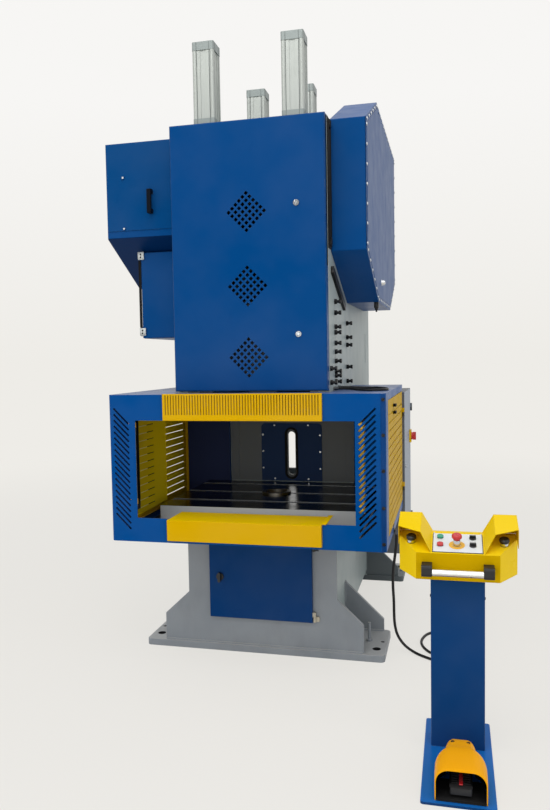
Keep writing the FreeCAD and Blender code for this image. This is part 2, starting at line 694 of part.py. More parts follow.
def vent_holes(z, depth):
    """Six by six square holes on a diamond, as one cutting tool."""
    holes = []
    for i in range(6):
        for j in range(6):
            a = (i - 2.5) * VENT_PITCH
            b = (j - 2.5) * VENT_PITCH
            across = (a - VENT_HOLE / 2, a + VENT_HOLE / 2)
            hole = block(across, depth, (z + b - VENT_HOLE / 2, z + b + VENT_HOLE / 2))
            hole.rotate(V(0, 0, z), V(0, 1, 0), 45)
            holes.append(hole)
    return holes


def main_door():
    """Tall folded door with three diamond vents and two lock barrels."""
    door = front_pan((-DOOR_HALF, DOOR_HALF), DOOR_DEPTH, DOOR_Z, 10)
    tools = []
    for z in VENT_Z:
        tools += vent_holes(z, (DOOR_DEPTH[0] - 1, DOOR_DEPTH[0] + 5))
    barrels = []
    for x, z in LOCKS:
        door = door.cut(rod_y(11, x, z, (DOOR_DEPTH[0] - 1, DOOR_DEPTH[0] + 5)))
        barrel = fuse([rod_y(16, x, z, (DOOR_DEPTH[0] - 5, DOOR_DEPTH[0])),
                       rod_y(11, x, z, (DOOR_DEPTH[0] - 5, DOOR_DEPTH[0] + 28))])
        barrels.append(barrel.cut(rod_y(7, x, z, (DOOR_DEPTH[0] - 6, DOOR_DEPTH[0] + 29))))
    door = door.cut(Part.makeCompound(tools))
    x, depth = DOOR_HINGE
    leaf = ((x, -DOOR_HALF + 1), (-99, -91))
    return fuse([door] + barrels + [hinge_moving(x, depth, z, leaf) for z in DOOR_HINGE_Z])


def door_key(x, z):
    """Lock plug with its key: blade, round bow and a second key on the ring."""
    front = DOOR_DEPTH[0] - 5
    plug = rod_y(7 - RUNNING, x, z, (front, front + 34))
    cam = block((x - 8, x + 8), (front + 34, front + 38), (z - 38, z + 8))
    blade = block((x - 1.2, x + 1.2), (front - 14, front + 1), (z - 4, z + 4))
    bow = rod_x(11, front - 24, z, (x - 1.2, x + 1.2)).cut(rod_x(3.5, front - 27, z, (x - 2, x + 2)))
    return fuse([plug, cam, blade, bow])


# ---------------------------------------------------------------- base door
BASE_HINGE = (317.0, 2.0)
BASE_HINGE_Z = (233.0, 640.0)


def base_door():
    """Folded door on the front column, hinged on the right."""
    pan = front_pan((-305, 305), (-6, 18.5), (200, 690 - 2), 5)
    pan = pan.cut(rod_y(12 + RUNNING, -239, 442, (-8, 0)))
    x, depth = BASE_HINGE
    leaf = ((304, x), (-2, 6))
    return fuse([pan] + [hinge_moving(x, depth, z, leaf) for z in BASE_HINGE_Z])


def base_door_latch():
    """Quarter-turn wing knob with its spindle and cam."""
    spindle = rod_y(12, -239, 442, (-14, 10))
    collar = rod_y(22, -239, 442, (-14, -6.3))
    wing = block((-247, -231), (-34, -14), (414, 470))
    wing = fillet_along(wing, 7, 1)
    cam = block((-262, -231), (10, 14), (436, 448))
    return fuse([spindle, collar, wing, cam])


# ---------------------------------------------------------------- guard enclosure
def diagonal_slots(tool_depth, middle_x):
    """Slanted slots of one field of the guard front, falling towards the opening."""
    slots = []
    length = 122.0
    for i in range(19):
        z = 1403.0 - i * 32.2
        bar = block((-length / 2, length / 2), tool_depth, (-5.5, 5.5))
        bar.rotate(V(0, 0, 0), V(0, 1, 0), 45)
        bar.translate(V(-middle_x, 0, z))
        slots.append(bar)
    return slots


def guard_shell():
    """Front sheet, folded side frames, top sheet and rear walls, fitted round the head."""
    wall = 4.0
    x = (-GUARD_HALF, GUARD_HALF)
    outer = block(x, GUARD_DEPTH, GUARD_Z)
    front_y = y_at(GUARD_DEPTH[0])
    outer = fillet_along(outer, 22, 2, lambda p: abs(p.y - front_y) < 1e-6)
    inner = block((x[0] + wall, x[1] - wall), (GUARD_DEPTH[0] + wall, GUARD_DEPTH[1] + 1),
                  (GUARD_Z[0] - 1, GUARD_Z[1] - wall))
    inner = fillet_along(inner, 18, 2, lambda p: p.y < front_y + 10)
    tools = [inner]
    through = (GUARD_DEPTH[0] - 1, GUARD_DEPTH[0] + wall + 1)
    tools.append(block((-GUARD_OPEN_HALF, GUARD_OPEN_HALF), through, GUARD_OPEN_Z))
    tools.append(block((-427, 427), through, (724, GUARD_OPEN_Z[0] + 1)))
    tools.append(block((-440, 440), (-155, GUARD_DEPTH[1] + 1), (GUARD_Z[1] - 10, GUARD_Z[1] + 1)))
    door_z = (GUARD_DOOR_Z[0] - 3, GUARD_DOOR_Z[1] + 3)
    door_depth = (GUARD_DOOR_DEPTH[0] - 3, GUARD_DOOR_DEPTH[1] + 3)
    tools.append(block((x[0] - 1, x[1] + 1), door_depth, door_z))
    left = diagonal_slots(through, 682)
    right = [mirror_x(s) for s in diagonal_slots(through, 662)]
    shell = cut(outer, tools + [Part.makeCompound(left), Part.makeCompound(right)])
    rear_wall = block((FRAME_HALF + 1, GUARD_HALF), (GUARD_DEPTH[1], GUARD_DEPTH[1] + 4), GUARD_Z)
    return group(parcels(shell, guard_sheets()) + both_sides(rear_wall))


def guard_sheets():
    """Boxes of the sheets that the shell is welded from: corners, lintel, sills, sides and roof."""
    low, high = GUARD_Z
    front, rear = GUARD_DEPTH
    half = GUARD_OPEN_HALF
    corner = (front - 1, GUARD_DOOR_DEPTH[0] - 3)
    boxes = both_sides(block((half, GUARD_HALF + 1), corner, (low, high)))
    boxes.append(block((-half, half), (front - 1, -155), (GUARD_OPEN_Z[1], high)))
    boxes += both_sides(block((427, half), (front - 1, -155), (low, GUARD_OPEN_Z[0])))
    boxes.append(block((-427, 427), (front - 1, -155), (low, GUARD_OPEN_Z[0])))
    side = (GUARD_HALF - 10, GUARD_HALF + 1)
    boxes += both_sides(block(side, (-196, rear + 1), (low, GUARD_DOOR_Z[0] - 3)))
    boxes += both_sides(block(side, (854, rear + 1), (low, GUARD_DOOR_Z[1] + 3)))
    boxes.append(block((-GUARD_HALF - 1, 0), (-196, rear + 1), (GUARD_DOOR_Z[1] + 3, high)))
    return boxes


GUARD_HINGE = (764.0, 853.0)
GUARD_HINGE_Z = (850.0, 1340.0)


def guard_door(side):
    """Slotted side door of the guard, folded all round, with its interlock actuator."""
    x = (GUARD_HALF - 4, GUARD_HALF)
    leaf = block((x[0] - 16, x[1]), GUARD_DOOR_DEPTH, GUARD_DOOR_Z)
    hollow = block((x[0] - 17, x[0]), (GUARD_DOOR_DEPTH[0] + SHEET, GUARD_DOOR_DEPTH[1] - SHEET),
                   (GUARD_DOOR_Z[0] + SHEET, GUARD_DOOR_Z[1] - SHEET))
    slots = []
    for i in range(14):
        z = 820.0 + 44.5 * i
        slots.append(block((x[0] - 1, x[1] + 1), (-150, 800), (z - 4, z + 4)))
    panel = leaf.cut(hollow).cut(Part.makeCompound(slots))
    hinge_x, hinge_depth = GUARD_HINGE
    knuckle_leaf = ((GUARD_HALF - 2, hinge_x), (hinge_depth - 14, hinge_depth - 4))
    knuckles = [hinge_moving(hinge_x, hinge_depth, z, knuckle_leaf) for z in GUARD_HINGE_Z]
    switch = block((x[1], x[1] + 16), (120, 190), (1384, 1398))
    second = block((x[1], x[1] + 16), (120, 190), (1424, 1438))
    body = fuse([panel, switch, second] + knuckles)
    return body if side > 0 else mirror_x(body)


def light_curtains():
    """Two light-curtain posts just inside the guard opening, with their end caps."""
    posts = []
    for side in (-1, 1):
        x = sorted((side * 606, side * 646))
        posts.append(fillet_along(block(x, (-316, -266), (905, 1374)), 6, 2))
        inside = [x[0] + 2, x[1] - 2]
        posts.append(block(inside, (-314, -268), (885, 905)))
        posts.append(block(inside, (-314, -268), (1374, 1400)))
    brackets = []
    for z in ((920, 950), (1340, 1370)):
        brackets += both_sides(block((600, 640), (-326, -316), z))
    return group(posts + brackets)


def slotted_cover():
    """Folded cover above the guard opening, with one row of fine upright slots."""
    cover = block((-434, 434), (-345, -330.2), (1380, 1524))
    cover = fillet_where(cover, 4, lambda p: abs(p.y - y_at(-345)) < 1e-6)
    cover = cover.cut(block((-431, 431), (-342, -330), (1383, 1521)))
    count = 55
    pitch = 846.0 / count
    slots = []
    for i in range(count):
        x = (i - (count - 1) / 2) * pitch
        slots.append(block((x - 2.6, x + 2.6), (-346, -341), (1412, 1516)))
    return cover.cut(Part.makeCompound(slots))


def shelf_cover():
    """Folded cover over the lower front of the table, open below and behind."""
    outline = [(-345, 727), (-345, 840), (-115, 840), (-115, 837), (-342, 837), (-342, 727)]
    sheet = side_prism(outline, (-424, 424))
    end = [(-342, 727), (-342, 837), (-115, 837), (-250, 727)]
    ends = [side_prism(end, x) for x in ((-424, -421), (421, 424))]
    shape = fuse([sheet] + ends)
    return fillet_along(shape, 2.5, 0, lambda p: p.y < y_at(-344) and p.z > 800)


# ---------------------------------------------------------------- electrical cabinet
CABINET_X = (436.0, 748.0)
CABINET_DEPTH = (878.0, 1530.0)
CABINET_Z = (390.0, 1470.0)
CABINET_HINGE = (775.0, 1536.0)
CABINET_HINGE_Z = (520.0, 1330.0)


def electrical_cabinet():
    outer = block(CABINET_X, CABINET_DEPTH, CABINET_Z)
    outer = fillet_along(outer, 5, 2)
    wall = 2.0
    inner = block((CABINET_X[0] + wall, CABINET_X[1] - wall),
                  (CABINET_DEPTH[0] + wall, CABINET_DEPTH[1] - wall),
                  (CABINET_Z[0] + wall, CABINET_Z[1] - wall))
    window = block((CABINET_X[1] - 5, CABINET_X[1] + 1), (CABINET_DEPTH[0] + 25, CABINET_DEPTH[1] - 25),
                   (CABINET_Z[0] + 25, CABINET_Z[1] - 25))
    plate = block((CABINET_X[0] + 20, CABINET_X[0] + 23), (930, 1480), (440, 1420))
    return group([cut(outer, [inner, window]), plate])


def electrical_door():
    """Side door of the cabinet, folded, with the lock and the switch plate."""
    x = (CABINET_X[1] + 0.5, 770.0)
    outer = block(x, CABINET_DEPTH, CABINET_Z)
    side_x = x[1]
    outer = fillet_where(outer, 4, lambda p: abs(p.x - side_x) < 1e-6)
    inner = block((x[0] - 1, x[1] - 2), (CABINET_DEPTH[0] + 2, CABINET_DEPTH[1] - 2),
                  (CABINET_Z[0] + 2, CABINET_Z[1] - 2))
    plate = block((x[1], x[1] + 14), (1375, 1455), (1080, 1170))
    lock = rod_x(12, 960, 968, (x[1] - 10, x[1] + 5))
    shell = cut(outer, [inner, rod_x(12, 960, 968, (x[1] - 3, x[1] + 1))])
    hole = rod_x(9, 1415, 1125, (x[0], x[1] + 16))
    body = fuse([shell, plate, lock]).cut(hole)
    hinge_x, hinge_depth = CABINET_HINGE
    leaf = ((760, hinge_x), (1526, hinge_depth))
    return fuse([body] + [hinge_moving(hinge_x, hinge_depth, z, leaf) for z in CABINET_HINGE_Z])


def main_switch():
    """Rotary main switch handle with its spindle."""
    spindle = rod_x(9 - RUNNING, 1415, 1125, (752, 787))
    disc = rod_x(27, 1415, 1125, (784.4, 797))
    grip = block((796, 817), (1407, 1423), (1096, 1154))
    grip = fillet_along(grip, 7, 0)
    return fuse([spindle, disc, grip])


# ---------------------------------------------------------------- fixed halves of every hinge
def hinge_knuckles():
    """Fixed knuckles with pins for the six doors."""
    x, depth = DOOR_HINGE
    fixed = [hinge_fixed(x, depth, z, ((x - 4, -FRAME_HALF - 0.5), (-94, -50))) for z in DOOR_HINGE_Z]
    x, depth = BASE_HINGE
    fixed += [hinge_fixed(x, depth, z, ((x, x + 26), (10.5, COLUMN_DEPTH[0]))) for z in BASE_HINGE_Z]
    bridges = [block((x - 7, x + 7), (depth, COLUMN_DEPTH[0]), (z - 28, z)) for z in BASE_HINGE_Z]
    fixed[3:] = [fuse([a, b]) for a, b in zip(fixed[3:], bridges)]
    x, depth = CONTROL_HINGE
    fixed += [hinge_fixed(x, depth, z, ((x, CONTROL_X[0]), (113, 160))) for z in CONTROL_HINGE_Z]
    for z in GUARD_HINGE_Z:
        x, depth = GUARD_HINGE
        leaf = ((GUARD_HALF, x), (depth + 4, GUARD_DEPTH[1]))
        fixed += both_sides(hinge_fixed(x, depth, z, leaf))
    x, depth = CABINET_HINGE
    for z in CABINET_HINGE_Z:
        leaf = ((740, x), (CABINET_DEPTH[1], depth))
        fixed.append(hinge_fixed(x, depth, z, leaf))
    return group(fixed)


# ---------------------------------------------------------------- two-hand control stand
def stand_column():
    """Foot plate with the square column welded to it."""
    half = 142.0
    base = block((STAND_X - half, STAND_X + half), STAND_BASE_DEPTH, (0, 10))
    base = fillet_along(base, 12, 2)
    outer = block((STAND_X - 113, STAND_X + 113), STAND_COLUMN_DEPTH, (10, 766))
    outer = fillet_along(outer, 6, 2)
    inner_depth = (STAND_COLUMN_DEPTH[0] + 3, STAND_COLUMN_DEPTH[1] - 3)
    inner = block((STAND_X - 110, STAND_X + 110), inner_depth, (10, 767))
    return fuse([base, outer.cut(inner)])


def panel_z(depth):
    """Height of the sloping top of the control head at a depth."""
    return 880.0 + PANEL_SLOPE * (depth + 930.0)


def hood_section(depth, outer_x, inner_x, foot_x, drop):
    """Upright outline of a hood at one depth, between its outer wall and the panel."""
    roof = 1006.0 + 0.304 * (depth + 760.0) - drop
    foot = panel_z(depth) - 6
    points = [(outer_x, foot), (outer_x, roof), (inner_x, roof), (foot_x, foot)]
    return Part.makePolygon([V(x, y_at(depth), z) for x, z in points + [points[0]]])


def left_hood():
    """Roof, outer wall, back and slanted inner wall that shield one palm button."""
    left = STAND_X - HEAD_HALF
    depths = (-740.0, -935.0)
    outer = Part.makeLoft([hood_section(d, left, 950, 996, 0) for d in depths], True, True)
    depths = (-743.0, -936.0)
    inner = Part.makeLoft([hood_section(d, left + 3, 948, 992, 3) for d in depths], True, True)
    shell = outer.cut(inner)
    front = plan_prism([(left - 10, -855), (1010, -934), (1010, -960), (left - 10, -960)], (800, 1100))
    return shell.cut(front)


def control_head():
    """Folded head of the stand: faceted front, sloping top and the two button hoods."""
    outline = [(-930, 767), (-930, 880), (-765, panel_z(-765)), (-740, panel_z(-765)), (-740, 767)]
    x = (STAND_X - HEAD_HALF, STAND_X + HEAD_HALF)
    body = side_prism(outline, x)
    plan = [(x[0], -740), (x[0], -790), (STAND_X - 170, -930), (STAND_X + 170, -930),
            (x[1], -790), (x[1], -740)]
    body = body.common(plan_prism(plan, (700, 1000)))
    inner = side_prism(inset_outline(outline, 3), (x[0] + 3, x[1] - 3))
    plan_in = [(x[0] + 3, -741), (x[0] + 3, -789), (STAND_X - 168, -926), (STAND_X + 168, -926),
               (x[1] - 3, -789), (x[1] - 3, -741)]
    inner = inner.common(plan_prism(plan_in, (700, 1000)))
    hood = left_hood()
    head = fuse([body, hood, mirror_x(hood, STAND_X)]).cut(inner)
    tools = [deck_rod(x, d, r, -9, 4) for x, d, r in BUTTON_HOLES]
    return cut(head, tools)


def deck_normal():
    length = math.hypot(1.0, PANEL_SLOPE)
    return V(0, -PANEL_SLOPE / length, 1.0 / length)


def deck_rod(x, depth, radius, low, high):
    """Round bar square to the sloping top, from low to high above its surface."""
    n = deck_normal()
    start = V(x, y_at(depth), panel_z(depth)) + n * low
    return Part.makeCylinder(radius, high - low, start, n)


PALM_X = (STAND_X - 193.0, STAND_X + 190.0)
PALM_DEPTH = -850.0
BUTTONS = {
    "start_button": (1030.0, -812.0),
    "stop_button": (1030.0, -872.0),
    "emergency_stop": (1099.0, -866.0),
    "mode_switch": (1165.0, -815.0),
    "light_switch": (1165.0, -872.0),
}
BUTTON_HOLES = [(PALM_X[0], PALM_DEPTH, 11.5), (PALM_X[1], PALM_DEPTH, 11.5)]
BUTTON_HOLES += [(x, d, 11.5) for x, d in BUTTONS.values()]


def control_panel():
    """Pale plate on the sloping top, with the fixed bezels of the buttons."""
    plate = block((STAND_X - 104, STAND_X + 104), (-923, -772), (0, 2))
    plate = fillet_along(plate, 3, 2)
    angle = math.degrees(math.atan(PANEL_SLOPE))
    plate.translate(V(0, 0, panel_z(-923)))
    plate.rotate(V(0, y_at(-923), panel_z(-923)), V(1, 0, 0), angle)
    tools = [deck_rod(x, d, 11.5, -5, 8) for x, d in BUTTONS.values()]
    bezels = []
    for name, (x, d) in BUTTONS.items():
        top = 30 if name == "emergency_stop" else 5
        bezels.append(deck_rod(x, d, 15, 2, top).cut(deck_rod(x, d, 11.5, 0, top + 1)))
    palms = [deck_rod(x, PALM_DEPTH, 17, 0, 14).cut(deck_rod(x, PALM_DEPTH, 11.5, -1, 15)) for x in PALM_X]
    return group([fuse([cut(plate, tools)] + bezels)] + palms)


def palm_button(x):
    """Mushroom palm button on its stem."""
    cap = deck_rod(x, PALM_DEPTH, 21, 20, 34)
    edge = [e for e in cap.Edges if e.Curve.TypeId == "Part::GeomCircle"]
    top = max(edge, key=lambda e: e.CenterOfMass.z)
    cap = cap.makeFillet(8, [top])
    return fuse([cap, deck_rod(x, PALM_DEPTH, 11.2, -4, 21)])


def push_button(name):
    x, depth = BUTTONS[name]
    return fuse([deck_rod(x, depth, 11.2, -4, 9), deck_rod(x, depth, 13.5, 8.4, 12.5)])


def emergency_stop():
    x, depth = BUTTONS["emergency_stop"]
    cap = deck_rod(x, depth, 21, 40, 54)
    top = max([e for e in cap.Edges if e.Curve.TypeId == "Part::GeomCircle"], key=lambda e: e.CenterOfMass.z)
    cap = cap.makeFillet(7, [top])
    return fuse([cap, deck_rod(x, depth, 11.2, -4, 41)])


def selector(name):
    """Selector switch: round body with a raised grip bar."""
    x, depth = BUTTONS[name]
    stem = deck_rod(x, depth, 11.2, -4, 6)
    body = deck_rod(x, depth, 14, 5.4, 11)
    n = deck_normal()
    bar = Part.makeBox(26, 8, 9, V(-13, -4, 0))
    bar.rotate(V(0, 0, 0), V(1, 0, 0), math.degrees(math.atan(PANEL_SLOPE)))
    bar.translate(V(x, y_at(depth), panel_z(depth)) + n * 10)
    return fuse([stem, body, bar])


def stand_handle():
    """Tubular pull handle between two clamp brackets."""
    z = 811.0
    depth = -978.0
    tube = rod_x(14, depth, z, (STAND_X - 132, STAND_X + 128)).cut(rod_x(12, depth, z, (900, 1300)))
    brackets = []
    for side in (-1, 1):
        x = sorted((STAND_X + side * 104, STAND_X + side * 146))
        clamp = block(x, (depth - 18, -930), (z - 17, z + 31))
        clamp = fillet_along(clamp, 12, 0, lambda p: p.y < y_at(depth - 17))
        brackets.append(clamp.cut(rod_x(14, depth, z, (STAND_X - 134, STAND_X + 134))))
    return group([tube] + brackets)


PEDAL_X = 1112.0


def arch_section(depth, half, height, floor=10.0):
    """Upright outline with a rounded top, as ten points."""
    rise = height - floor
    points = [(-half, floor), (-half, floor + 0.55 * rise), (-0.93 * half, floor + 0.76 * rise),
              (-0.76 * half, floor + 0.91 * rise), (-0.45 * half, height)]
    points += [(-x, z) for x, z in reversed(points)]
    return Part.makePolygon([V(PEDAL_X + x, y_at(depth), z) for x, z in points + [points[0]]])


def foot_switch():
    """Shielding hood of the foot switch: wide mouth in front, narrow lobe behind."""
    outer = [(-1259, 100, 134), (-1150, 100, 142), (-1105, 92, 142), (-1068, 62, 134), (-975, 58, 118)]
    inner = [(-1260, 95, 129), (-1150, 95, 137), (-1108, 87, 137), (-1071, 57, 129), (-979, 53, 113)]
    shell = Part.makeLoft([arch_section(*s) for s in outer], True, True)
    hollow = Part.makeLoft([arch_section(*s, floor=14) for s in inner], True, True)
    bosses = [rod_z(7, PEDAL_X + s * 31, -1028, (119, 130)) for s in (-1, 1)]
    pin = rod_x(5, -1088, 44, (PEDAL_X - 75, PEDAL_X + 75))
    return fuse([shell.cut(hollow), pin] + bosses)


def foot_pedal():
    """Thick treadle on its cross pin, with grip ribs on top."""
    outline = [(-1243, 31), (-1243, 56), (-1228, 65), (-1150, 65), (-1098, 58), (-1098, 33)]
    plate = side_prism(outline, (PEDAL_X - 43, PEDAL_X + 43))
    plate = fillet_along(plate, 8, 2, lambda p: p.y < y_at(-1242))
    lug = rod_x(13, -1088, 44, (PEDAL_X - 30, PEDAL_X + 30))
    body = fuse([plate, lug, block((PEDAL_X - 30, PEDAL_X + 30), (-1100, -1088), (36, 52))])
    body = body.cut(rod_x(5 + RUNNING, -1088, 44, (PEDAL_X - 60, PEDAL_X + 60)))
    ribs = [block((PEDAL_X - 36, PEDAL_X + 36), (d, d + 5), (63, 68))
            for d in (-1222, -1206, -1190, -1174, -1158)]
    return fuse([body] + ribs)


# ---------------------------------------------------------------- cable
CABLE_ROUTE = [
    (770, 130, 700), (770, 130, 640), (757, 140, 555), (746, 152, 465), (745, 165, 380),
    (749, 178, 300), (748, 192, 220), (750, 203, 150), (765, 206, 84), (806, 196, 32),
    (866, 160, 8.3), (925, 108, 8.3), (992, 66, 8.3), (1062, 72, 8.3), (1112, 118, 8.3),
    (1136, 186, 8.3), (1140, 262, 8.3), (1128, 344, 8.3), (1110, 424, 8.3), (1083, 488, 8.3),
    (1030, 517, 8.3), (970, 509, 8.3), (927, 467, 8.3), (904, 404, 8.3), (894, 334, 8.3),
    (906, 262, 8.3), (938, 196, 8.3), (974, 138, 16), (1006, 92, 25.6), (1036, 34, 25.6),
    (1060, -34, 15), (1080, -112, 8.3), (1096, -196, 8.3), (1106, -288, 8.3), (1102, -380, 8.3),
    (1092, -466, 8.3), (1094, -545, 14), (1099, -614, 36), (1102, -672, 52), (1102, -727, 52),
]
HOSE_R = 7.0
HOSE_ROUTE = [
    (463, 40, 1532), (512, 40, 1532), (566, 12, 1527.4), (594, -30, 1527.4), (624, -58, 1527.4),
    (672, -66, 1527.4), (715, -42, 1527.4), (736, 3, 1527.4), (734, 56, 1527.4), (722, 112, 1527.4),
    (700, 168, 1527.4), (658, 212, 1527.4), (604, 230, 1527.4), (548, 222, 1529), (502, 202, 1532),
    (463, 202, 1532),
]


def rounded_path(points):
    """Straight runs joined by tangent arcs, each as large as its two runs allow."""
    edges = []
    start = points[0]
    radii = []
    for before, corner, after in zip(points, points[1:], points[2:]):
        to_back = (before - corner).normalize()
        to_next = (after - corner).normalize()
        turn = math.pi - to_back.getAngle(to_next)
        reach = 0.45 * min((before - corner).Length, (after - corner).Length)
        radii.append(reach / math.tan(turn / 2))
        tangent_in = corner + to_back * reach
        tangent_out = corner + to_next * reach
        bisector = (to_back + to_next).normalize()
        centre_gap = radii[-1] / math.cos(turn / 2)
        middle = corner + bisector * (centre_gap - radii[-1])
        edges.append(Part.LineSegment(start, tangent_in).toShape())
        edges.append(Part.Arc(tangent_in, middle, tangent_out).toShape())
        start = tangent_out
    edges.append(Part.LineSegment(start, points[-1]).toShape())
    return Part.Wire(edges), radii


def cord_tube(route, radius, name):
    points = [V(x, y_at(d), z) for x, d, z in route]
    path, radii = rounded_path(points)
    section = Part.Wire(Part.makeCircle(radius, points[0], points[1] - points[0]))
    tube = path.makePipeShell([section], True, True)
    expected = math.pi * radius ** 2 * path.Length
    print("%s length %.0f, volume ratio %.4f" % (name, path.Length, tube.Volume / expected))
    print("%s arc radii" % name, [round(r) for r in radii])
    return tube


def line_fittings():
    """Cable glands on the guard and on the stand, and the hose fittings on the side plate."""
    x, depth, z = CABLE_ROUTE[0]
    plate = block((GUARD_HALF, GUARD_HALF + 3), (depth - 30, depth + 30), (z + 16, 756))
    arm = block((GUARD_HALF, x + 18), (depth - 18, depth + 18), (z + 24, z + 29))
    body = hex_z(22, x, depth, (z + 5, z + 24))
    sleeve = rod_z(10, x, depth, (z, z + 5))
    upper = fuse([plate, arm, body, sleeve])
    x, depth, z = CABLE_ROUTE[-1]
    r = 30 / math.sqrt(3.0)
    corners = [math.radians(60 * i) for i in range(6)]
    nut = front_prism([(x + r * math.cos(a), z + r * math.sin(a)) for a in corners], (depth, depth + 16))
    lower = nut.cut(rod_y(CABLE_R, x, z, (depth - 1, depth + 17)))
    elbows = []
    for x, depth, z in (HOSE_ROUTE[0], HOSE_ROUTE[-1]):
        elbows.append(fuse([hex_x(20, depth, z, (FRAME_HALF, FRAME_HALF + 16)),
                            rod_x(9, depth, z, (FRAME_HALF + 15, x))]))
    return group([upper, lower] + elbows)


# ---------------------------------------------------------------- all nodes
NODES = {
    "feet": feet,
    "front_column": front_column,
    "side_plate_left": lambda: side_plate(-1),
    "side_plate_right": lambda: side_plate(1),
    "bed_plate": bed_plate,
    "rear_plate": rear_plate,
    "cross_members": cross_members,
    "top_deck": top_deck,
    "bolster": bolster,
    "throat_cover": throat_cover,
    "crankshaft": crankshaft,
    "crank_bushes": crank_bushes,
    "connecting_rod": connecting_rod,
    "rod_cap": rod_cap,
    "adjusting_screw": adjusting_screw,
    "slide": slide,
    "slide_gibs": slide_gibs,
    "gib_screws": gib_screws,
    "counterbalance_cylinders": counterbalance_cylinders,
    "piston_rods": piston_rods,
    "flywheel": flywheel,
    "motor_pulley": motor_pulley,
    "drive_belts": drive_belts,
    "motor": motor,
    "drive_cover": drive_cover,
    "left_housing": left_housing,
    "left_access_panel": left_access_panel,
    "control_cabinet": control_cabinet,
    "control_cabinet_door": control_cabinet_door,
    "main_door": main_door,
    "upper_key": lambda: door_key(*LOCKS[0]),
    "lower_key": lambda: door_key(*LOCKS[1]),
    "base_door": base_door,
    "base_door_latch": base_door_latch,
    "guard_shell": guard_shell,
    "guard_door_left": lambda: guard_door(-1),
    "guard_door_right": lambda: guard_door(1),
    "light_curtains": light_curtains,
    "slotted_cover": slotted_cover,
    "shelf_cover": shelf_cover,
    "electrical_cabinet": electrical_cabinet,
    "electrical_door": electrical_door,
    "main_switch": main_switch,
    "hinge_knuckles": hinge_knuckles,
    "stand_column": stand_column,
    "control_head": control_head,
    "control_panel": control_panel,
    "palm_button_left": lambda: palm_button(PALM_X[0]),
    "palm_button_right": lambda: palm_button(PALM_X[1]),
    "start_button": lambda: push_button("start_button"),
    "stop_button": lambda: push_button("stop_button"),
    "emergency_stop": emergency_stop,
    "mode_switch": lambda: selector("mode_switch"),
    "light_switch": lambda: selector("light_switch"),
    "stand_handle": stand_handle,
    "foot_switch": foot_switch,
    "foot_pedal": foot_pedal,
    "cable": lambda: cord_tube(CABLE_ROUTE, CABLE_R, "cable"),
    "air_hose": lambda: cord_tube(HOSE_ROUTE, HOSE_R, "air hose"),
    "line_fittings": line_fittings,
}


def main():
    os.makedirs("parts", exist_ok=True)
    for name, build in NODES.items():
        shape = build()
        if not shape.isValid():
            print("not valid:", name)
        shape.exportStep("parts/%s.step" % name)
        box = shape.BoundBox
        print("%-22s solids %2d  x %6.0f %6.0f  y %6.0f %6.0f  z %6.0f %6.0f  litres %8.2f" % (
            name, len(shape.Solids), box.XMin, box.XMax, box.YMin, box.YMax, box.ZMin, box.ZMax,
            shape.Volume / 1e6))
    print(len(NODES), "nodes")


main()
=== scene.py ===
"""Looks of the stamping press: finishes for its built parts and the small pieces that dress them."""
import logging
import math
from collections.abc import Callable, Iterable, Mapping, Sequence
from dataclasses import dataclass, replace
from enum import Enum
from functools import cached_property

import bmesh
import bpy
from mathutils import Matrix, Vector


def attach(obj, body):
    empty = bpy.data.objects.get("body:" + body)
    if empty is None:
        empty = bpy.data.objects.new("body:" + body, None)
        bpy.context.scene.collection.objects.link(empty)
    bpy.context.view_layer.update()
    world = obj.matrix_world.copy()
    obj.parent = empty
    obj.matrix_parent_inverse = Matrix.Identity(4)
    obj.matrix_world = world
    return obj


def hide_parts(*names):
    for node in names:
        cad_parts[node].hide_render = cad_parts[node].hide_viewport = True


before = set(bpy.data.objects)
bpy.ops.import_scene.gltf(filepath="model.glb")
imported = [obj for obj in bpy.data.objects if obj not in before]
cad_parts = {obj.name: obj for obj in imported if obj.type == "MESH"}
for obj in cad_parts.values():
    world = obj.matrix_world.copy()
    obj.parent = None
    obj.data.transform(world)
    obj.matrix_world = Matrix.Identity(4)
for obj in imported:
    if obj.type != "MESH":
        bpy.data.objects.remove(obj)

Pair = tuple[float, float]
Triple = tuple[float, float, float]
Piece = bpy.types.Object
Socket = bpy.types.NodeSocket

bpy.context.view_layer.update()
LOG = logging.getLogger("press")
FRONT_EDGE = -0.950          # place of the front foot plate's front edge, in metres
DECK_POINT = (1102.0, -930.0, 880.0)   # front of the control stand's sloping deck
DECK_NORMAL = Vector((0.0, -0.3004, 0.9538))
DECK_RISE = 0.315            # rise of the deck for each unit of its depth
FRONTWARD = Vector((0.0, -1.0, 0.0))
LEFTWARD = Vector((-1.0, 0.0, 0.0))
RIGHTWARD = Vector((1.0, 0.0, 0.0))
UPWARD = Vector((0.0, 0.0, 1.0))


class Body(Enum):
    """Bodies that pieces ride on."""

    FRAME = "frame"
    GUARD_LEFT = "guard_door_left"
    GUARD_RIGHT = "guard_door_right"
    SMALL_DOOR = "control_cabinet_door"
    PEDAL = "foot_pedal"


class Slot(Enum):
    """The record's material slots that scene pieces belong to."""

    BARREL = "barrel_aluminium"
    BRIGHT = "bright_steel"
    DARK = "black_steel"
    PLASTIC = "black_plastic"
    RED = "red_plastic"
    BLUE = "guard_blue"
    GREY = "frame_grey"
    YELLOW = "press_yellow"
    ORANGE = "pedal_orange"
    RUBBER = "cable_rubber"


def at(x: float, depth: float, z: float) -> Vector:
    """Turns millimetres across, behind the front edge and up into the model's metres."""
    return Vector((x / 1000.0, depth / 1000.0 + FRONT_EDGE, z / 1000.0))


